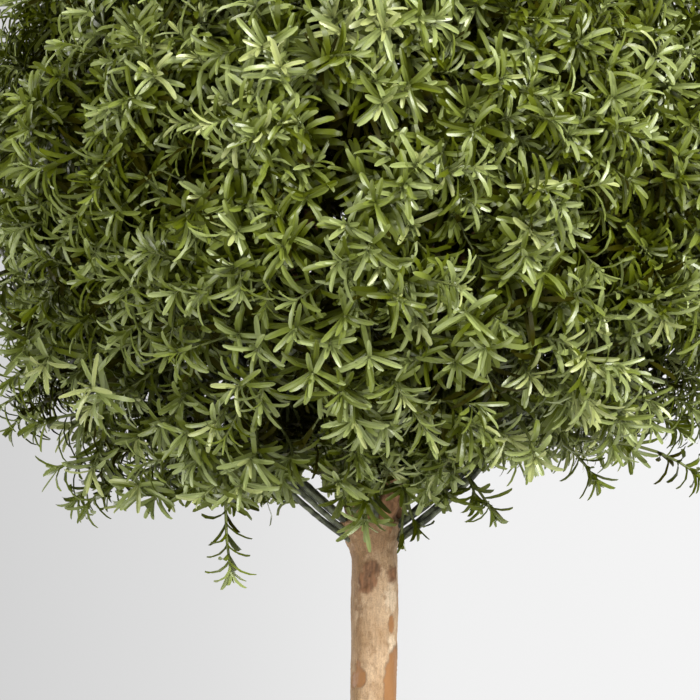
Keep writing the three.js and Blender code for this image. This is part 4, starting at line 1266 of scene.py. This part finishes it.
def leaf_faces(lengthwise, across):
    """A leaf's four-sided faces and the ones that close its tip."""
    wide, rows = len(across), len(lengthwise)
    columns = range(0, wide - 1, 2)
    quads = [
        (wide * r + c, wide * (r + 1) + c, wide * (r + 1) + c + 1, wide * r + c + 1)
        for r in range(rows - 1) for c in columns
    ]
    last = wide * (rows - 1)
    return np.array(quads), np.array([(last + c, wide * rows, last + c + 1) for c in columns])


def leaf_finishes(sizes):
    """The finishes of leaves by age, from buds to the innermost, whose near-black green is painted shade,
    with less gloss on the older ones.
    """
    finishes = []
    for name, shade, gloss in (
        ("leaf_bud", sizes.bud, 0.75), ("leaf_tip", sizes.tip, 0.75), ("leaf_young", sizes.young, 0.7),
        ("leaf_grown", sizes.grown, 0.32), ("leaf_old", sizes.old, 0.12), ("leaf_inner_shade", sizes.inner, 0.04),
    ):
        leaf = Finish(name, shade, LEAF_ROUGHNESS, gloss)
        leaf.bump(leaf.cloud(900, 2), 0.0001)
        finishes.append(leaf.material)
    return finishes


def add_leaves(sizes):
    _, leaves = grow_crown(sizes)
    finishes = leaf_finishes(sizes)
    leaves["slot"] = np.clip(np.rint(leaves["age_and_painted_light"] + FINISH_AGE_SHIFT), 0, len(finishes) - 1).astype(int)
    shapes = ((True, GROOVED_ROWS, GROOVED_ACROSS), (False, PLAIN_ROWS, PLAIN_ACROSS))
    for number, name in enumerate(MASS_NAMES):
        corners, groups, start = [], [], 0
        for grooved, *shape in shapes:
            own = kept_rows(leaves, (leaves["mass"] == number) & (leaves["grooved"] == grooved))
            made = leaf_corners(own, *shape)
            first = start + np.arange(len(made))[:, None, None] * made.shape[1]
            for faces in leaf_faces(*shape):
                numbers = (first + faces).reshape(-1, faces.shape[1])
                groups.append((numbers, np.repeat(own["slot"], len(faces))))
            corners.append(made.reshape(-1, 3))
            start += len(corners[-1])
        piece = mesh_piece(f"leaves_{name}", np.concatenate(corners), groups, finishes)
        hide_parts(f"foliage_{name}")


def stem_finish(sizes):
    stem = Finish("sprig_stem", sizes.stem, 0.5, 0.4)
    stem.base(stem.mix(stem.cloud(120, 3), toned(sizes.stem, 0.55), tuple(sizes.stem)))
    stem.bump(stem.cloud(800, 2), 0.0002)
    return stem.material


# Kinds of stem: radius at the root and at the tip, sides, steps along, slot of the finish.
MASS_STEM = (0.0036, 0.003, 10, 8, 0)
STEM_KINDS = {
    "twigs": (0.0022, 0.0016, 7, 10, 0),
    "sprigs": (0.0012, 0.0008, 5, 5, 1),
    "shoots": (0.0009, 0.0006, 4, 3, 1),
}


def add_twigs(sizes, wire):
    stems, _ = grow_crown(sizes)
    finishes = [wire_finish(wire), stem_finish(sizes)]
    for number, name in enumerate(MASS_NAMES):
        foot = BOUGH_TIPS[number]
        fork = CROWN_CENTRE + MASS_AXES[number] * CROWN_RADIUS * TWIG_FORK_SHARE
        lines = {"root": foot[None], "bend": (foot + fork)[None] / 2, "tip": fork[None]}
        kinds = [(lines, MASS_STEM)]
        for kind, shape in STEM_KINDS.items():
            kinds.append((kept_rows(stems[kind], stems[kind]["mass"] == number), shape))
        corners, groups, start = [], [], 0
        for own, (root_radius, tip_radius, sides, steps, slot) in kinds:
            made, skin, ends = tubes(own["root"], own["bend"], own["tip"],
                                     root_radius, tip_radius, sides, steps)
            corners.append(made)
            groups += [(skin + start, slot), (ends + start, slot)]
            start += len(made)
        piece = mesh_piece(f"twigs_{name}", np.concatenate(corners), groups, finishes)


# ---- stage --------------------------------------------------------------------------------------

FLOOR_RADIUS = 3.2
FLOOR_FADE = (0.9, 3.0)  # distances from the plant between which the floor turns into the background
FLOOR_SIDES = 96
AIR_STRENGTH = 0.30
PAPER_SPREAD = 0.082  # how far to each side of straight ahead the painted light on the background changes
# Painted light on the background: its greys from the left to the right.
PAPER_PAINTED_LIGHT = ((0.0, 0.65), (0.30, 0.74), (0.62, 0.87), (1.0, 0.91))
SENSOR_WIDTH = 36  # of the camera, in millimetres
LIGHT_AIM = (0.0, 0.0, 0.95)
STUDIO_LIGHTS = (  # name, place, diameter in metres, power in watts
    ("key_light", (1.6, -2.1, 2.1), 1.0, 80),
    ("front_light", (-0.9, -2.6, 0.4), 1.8, 32),
    ("high_left_light", (-1.7, -1.6, 2.9), 1.6, 48),
    ("high_right_light", (1.8, -1.4, 2.9), 1.6, 56),
    ("back_light", (1.4, 2.8, 1.9), 2.4, 80),
    ("back_fill_light", (-2.4, 2.0, 0.7), 2.4, 45),
)


def add_light(name, place, diameter, power):
    """A round soft light that lights the plant and isn't seen itself."""
    light = bpy.data.lights.new(name, "AREA")
    light.shape = "DISK"
    light.size = diameter
    light.energy = power
    lamp = bpy.data.objects.new(name, light)
    lamp.location = place
    lamp.visible_camera = False
    lamp.rotation_euler = (Vector(LIGHT_AIM) - Vector(place)).to_track_quat("-Z", "Y").to_euler()
    bpy.context.scene.collection.objects.link(lamp)


def add_floor(sizes):
    """A round studio floor that turns into the background towards its rim."""
    finish = Finish("studio_floor", sizes.floor, 0.9, 0.2)
    finish.rough(finish.ramp(finish.cloud(3), ((0.3, 0.85), (0.7, 0.95))))
    out = finish.node("ShaderNodeVectorMath", {0: finish.place}, operation="LENGTH").outputs["Value"]
    near, far = FLOOR_FADE
    gone = finish.node("ShaderNodeMapRange", {"Value": out, "From Min": near, "From Max": far},
                       interpolation_type="SMOOTHSTEP").outputs["Result"]
    clear = finish.node("ShaderNodeBsdfTransparent").outputs[0]
    faded = finish.node("ShaderNodeMixShader", {0: gone, 1: finish.shader.outputs[0], 2: clear})
    finish.links.new(faded.outputs[0], finish.nodes["Material Output"].inputs["Surface"])
    turn = np.arange(FLOOR_SIDES) / FLOOR_SIDES * 2 * pi
    rim = np.stack((FLOOR_RADIUS * np.cos(turn), FLOOR_RADIUS * np.sin(turn), np.zeros(FLOOR_SIDES)), -1)
    mesh = bpy.data.meshes.new("studio_floor")
    mesh.from_pydata(rim.tolist(), [], [list(range(FLOOR_SIDES))])
    mesh.materials.append(finish.material)
    floor = bpy.data.objects.new("studio_floor", mesh)
    bpy.context.scene.collection.objects.link(floor)


def add_air():
    """Soft light from all round, in front of a background with painted light, darker on the left and paler on
    the right as if lit from the right.
    """
    world = bpy.data.worlds.new("studio_air")
    world.use_nodes = True
    nodes, links = world.node_tree.nodes, world.node_tree.links
    soft = nodes["Background"]
    soft.inputs["Color"].default_value = (1, 1, 1, 1)
    soft.inputs["Strength"].default_value = AIR_STRENGTH
    towards = nodes.new("ShaderNodeTexCoord").outputs["Generated"]
    split = nodes.new("ShaderNodeSeparateXYZ")
    links.new(towards, split.inputs[0])
    across = nodes.new("ShaderNodeMapRange")
    across.inputs["From Min"].default_value = -PAPER_SPREAD
    across.inputs["From Max"].default_value = PAPER_SPREAD
    links.new(split.outputs["X"], across.inputs["Value"])
    # Painted light: the background darkens to the left and brightens to the right.
    ramp = nodes.new("ShaderNodeValToRGB")
    set_stops(ramp, PAPER_PAINTED_LIGHT)
    links.new(across.outputs["Result"], ramp.inputs["Fac"])
    paper = nodes.new("ShaderNodeBackground")
    links.new(ramp.outputs["Color"], paper.inputs["Color"])
    seen = nodes.new("ShaderNodeLightPath").outputs["Is Camera Ray"]
    mixed = nodes.new("ShaderNodeMixShader")
    links.new(seen, mixed.inputs[0])
    links.new(soft.outputs[0], mixed.inputs[1])
    links.new(paper.outputs[0], mixed.inputs[2])
    links.new(mixed.outputs[0], nodes["World Output"].inputs["Surface"])
    bpy.context.scene.world = world


def add_stage(sizes):
    scene = bpy.context.scene
    scene.view_settings.view_transform = "Standard"
    add_floor(sizes)
    add_air()
    for light in STUDIO_LIGHTS:
        add_light(*light)
    lens = bpy.data.cameras.new("camera")
    lens.sensor_width = SENSOR_WIDTH
    lens.lens = SENSOR_WIDTH * sizes.distance / sizes.view_width
    camera = bpy.data.objects.new("camera", lens)
    camera.location = (sizes.aim_side, -sizes.distance, sizes.aim_height)
    camera.rotation_euler = (pi / 2, 0, 0)
    scene.collection.objects.link(camera)
    scene.camera = camera


# ---- operators and panel ------------------------------------------------------------------------


class TopiaryAddPot(Operator):
    """Adds the clay pot"""

    bl_idname = "topiary.add_pot"
    bl_label = "Clay Pot"

    def execute(self, context):
        add_pot(context.scene.topiary_pot)
        return {"FINISHED"}


class TopiaryAddFill(Operator):
    """Adds the fill with its dressing of crumbled bark"""

    bl_idname = "topiary.add_fill"
    bl_label = "Fill"

    def execute(self, context):
        add_fill(context.scene.topiary_pot)
        return {"FINISHED"}


class TopiaryAddPole(Operator):
    """Adds the natural pole with the relief of its bark"""

    bl_idname = "topiary.add_pole"
    bl_label = "Pole"

    def execute(self, context):
        add_pole(context.scene.topiary_pole)
        return {"FINISHED"}


class TopiaryAddBoughs(Operator):
    """Adds the leader and the upper boughs"""

    bl_idname = "topiary.add_boughs"
    bl_label = "Boughs"

    def execute(self, context):
        add_boughs(context.scene.topiary_boughs)
        return {"FINISHED"}


class TopiaryAddWires(Operator):
    """Adds the bundles of moulded wires that carry the lower foliage"""

    bl_idname = "topiary.add_wires"
    bl_label = "Wires"

    def execute(self, context):
        add_wires(context.scene.topiary_boughs)
        return {"FINISHED"}


class TopiaryAddTwigs(Operator):
    """Adds the twigs and sprigs of every mass of foliage"""

    bl_idname = "topiary.add_twigs"
    bl_label = "Twigs"

    def execute(self, context):
        add_twigs(context.scene.topiary_leaves, context.scene.topiary_boughs)
        return {"FINISHED"}


class TopiaryAddLeaves(Operator):
    """Adds the leaves of every mass of foliage"""

    bl_idname = "topiary.add_leaves"
    bl_label = "Leaves"

    def execute(self, context):
        add_leaves(context.scene.topiary_leaves)
        return {"FINISHED"}


class TopiaryAddStage(Operator):
    """Adds the studio floor, the lights and the camera"""

    bl_idname = "topiary.add_stage"
    bl_label = "Stage"

    def execute(self, context):
        add_stage(context.scene.topiary_stage)
        return {"FINISHED"}


OPERATORS = (
    TopiaryAddPot, TopiaryAddFill, TopiaryAddPole, TopiaryAddBoughs, TopiaryAddWires,
    TopiaryAddTwigs, TopiaryAddLeaves, TopiaryAddStage,
)


class TopiaryPanel(Panel):
    """Lists the topiary's pieces with their sizes and colours"""

    bl_idname = "VIEW3D_PT_topiary"
    bl_label = "Ball Topiary"
    bl_space_type = "VIEW_3D"
    bl_region_type = "UI"
    bl_category = "Topiary"

    def draw(self, context):
        for name, group in GROUPS.items():
            box = self.layout.box()
            for key in group.__annotations__:
                box.prop(getattr(context.scene, name), key)
        for operator in OPERATORS:
            self.layout.operator(operator.bl_idname)


def register():
    for item in (*GROUPS.values(), *OPERATORS, TopiaryPanel):
        bpy.utils.register_class(item)
    for name, group in GROUPS.items():
        setattr(bpy.types.Scene, name, PointerProperty(type=group))


def unregister():
    for name in GROUPS:
        delattr(bpy.types.Scene, name)
    for item in reversed((*GROUPS.values(), *OPERATORS, TopiaryPanel)):
        bpy.utils.unregister_class(item)


def main():
    register()
    bpy.ops.topiary.add_pot()
    bpy.ops.topiary.add_fill()
    bpy.ops.topiary.add_pole()
    bpy.ops.topiary.add_boughs()
    bpy.ops.topiary.add_wires()
    bpy.ops.topiary.add_twigs()
    bpy.ops.topiary.add_leaves()
    bpy.ops.topiary.add_stage()


if __name__ == "__main__":
    main()
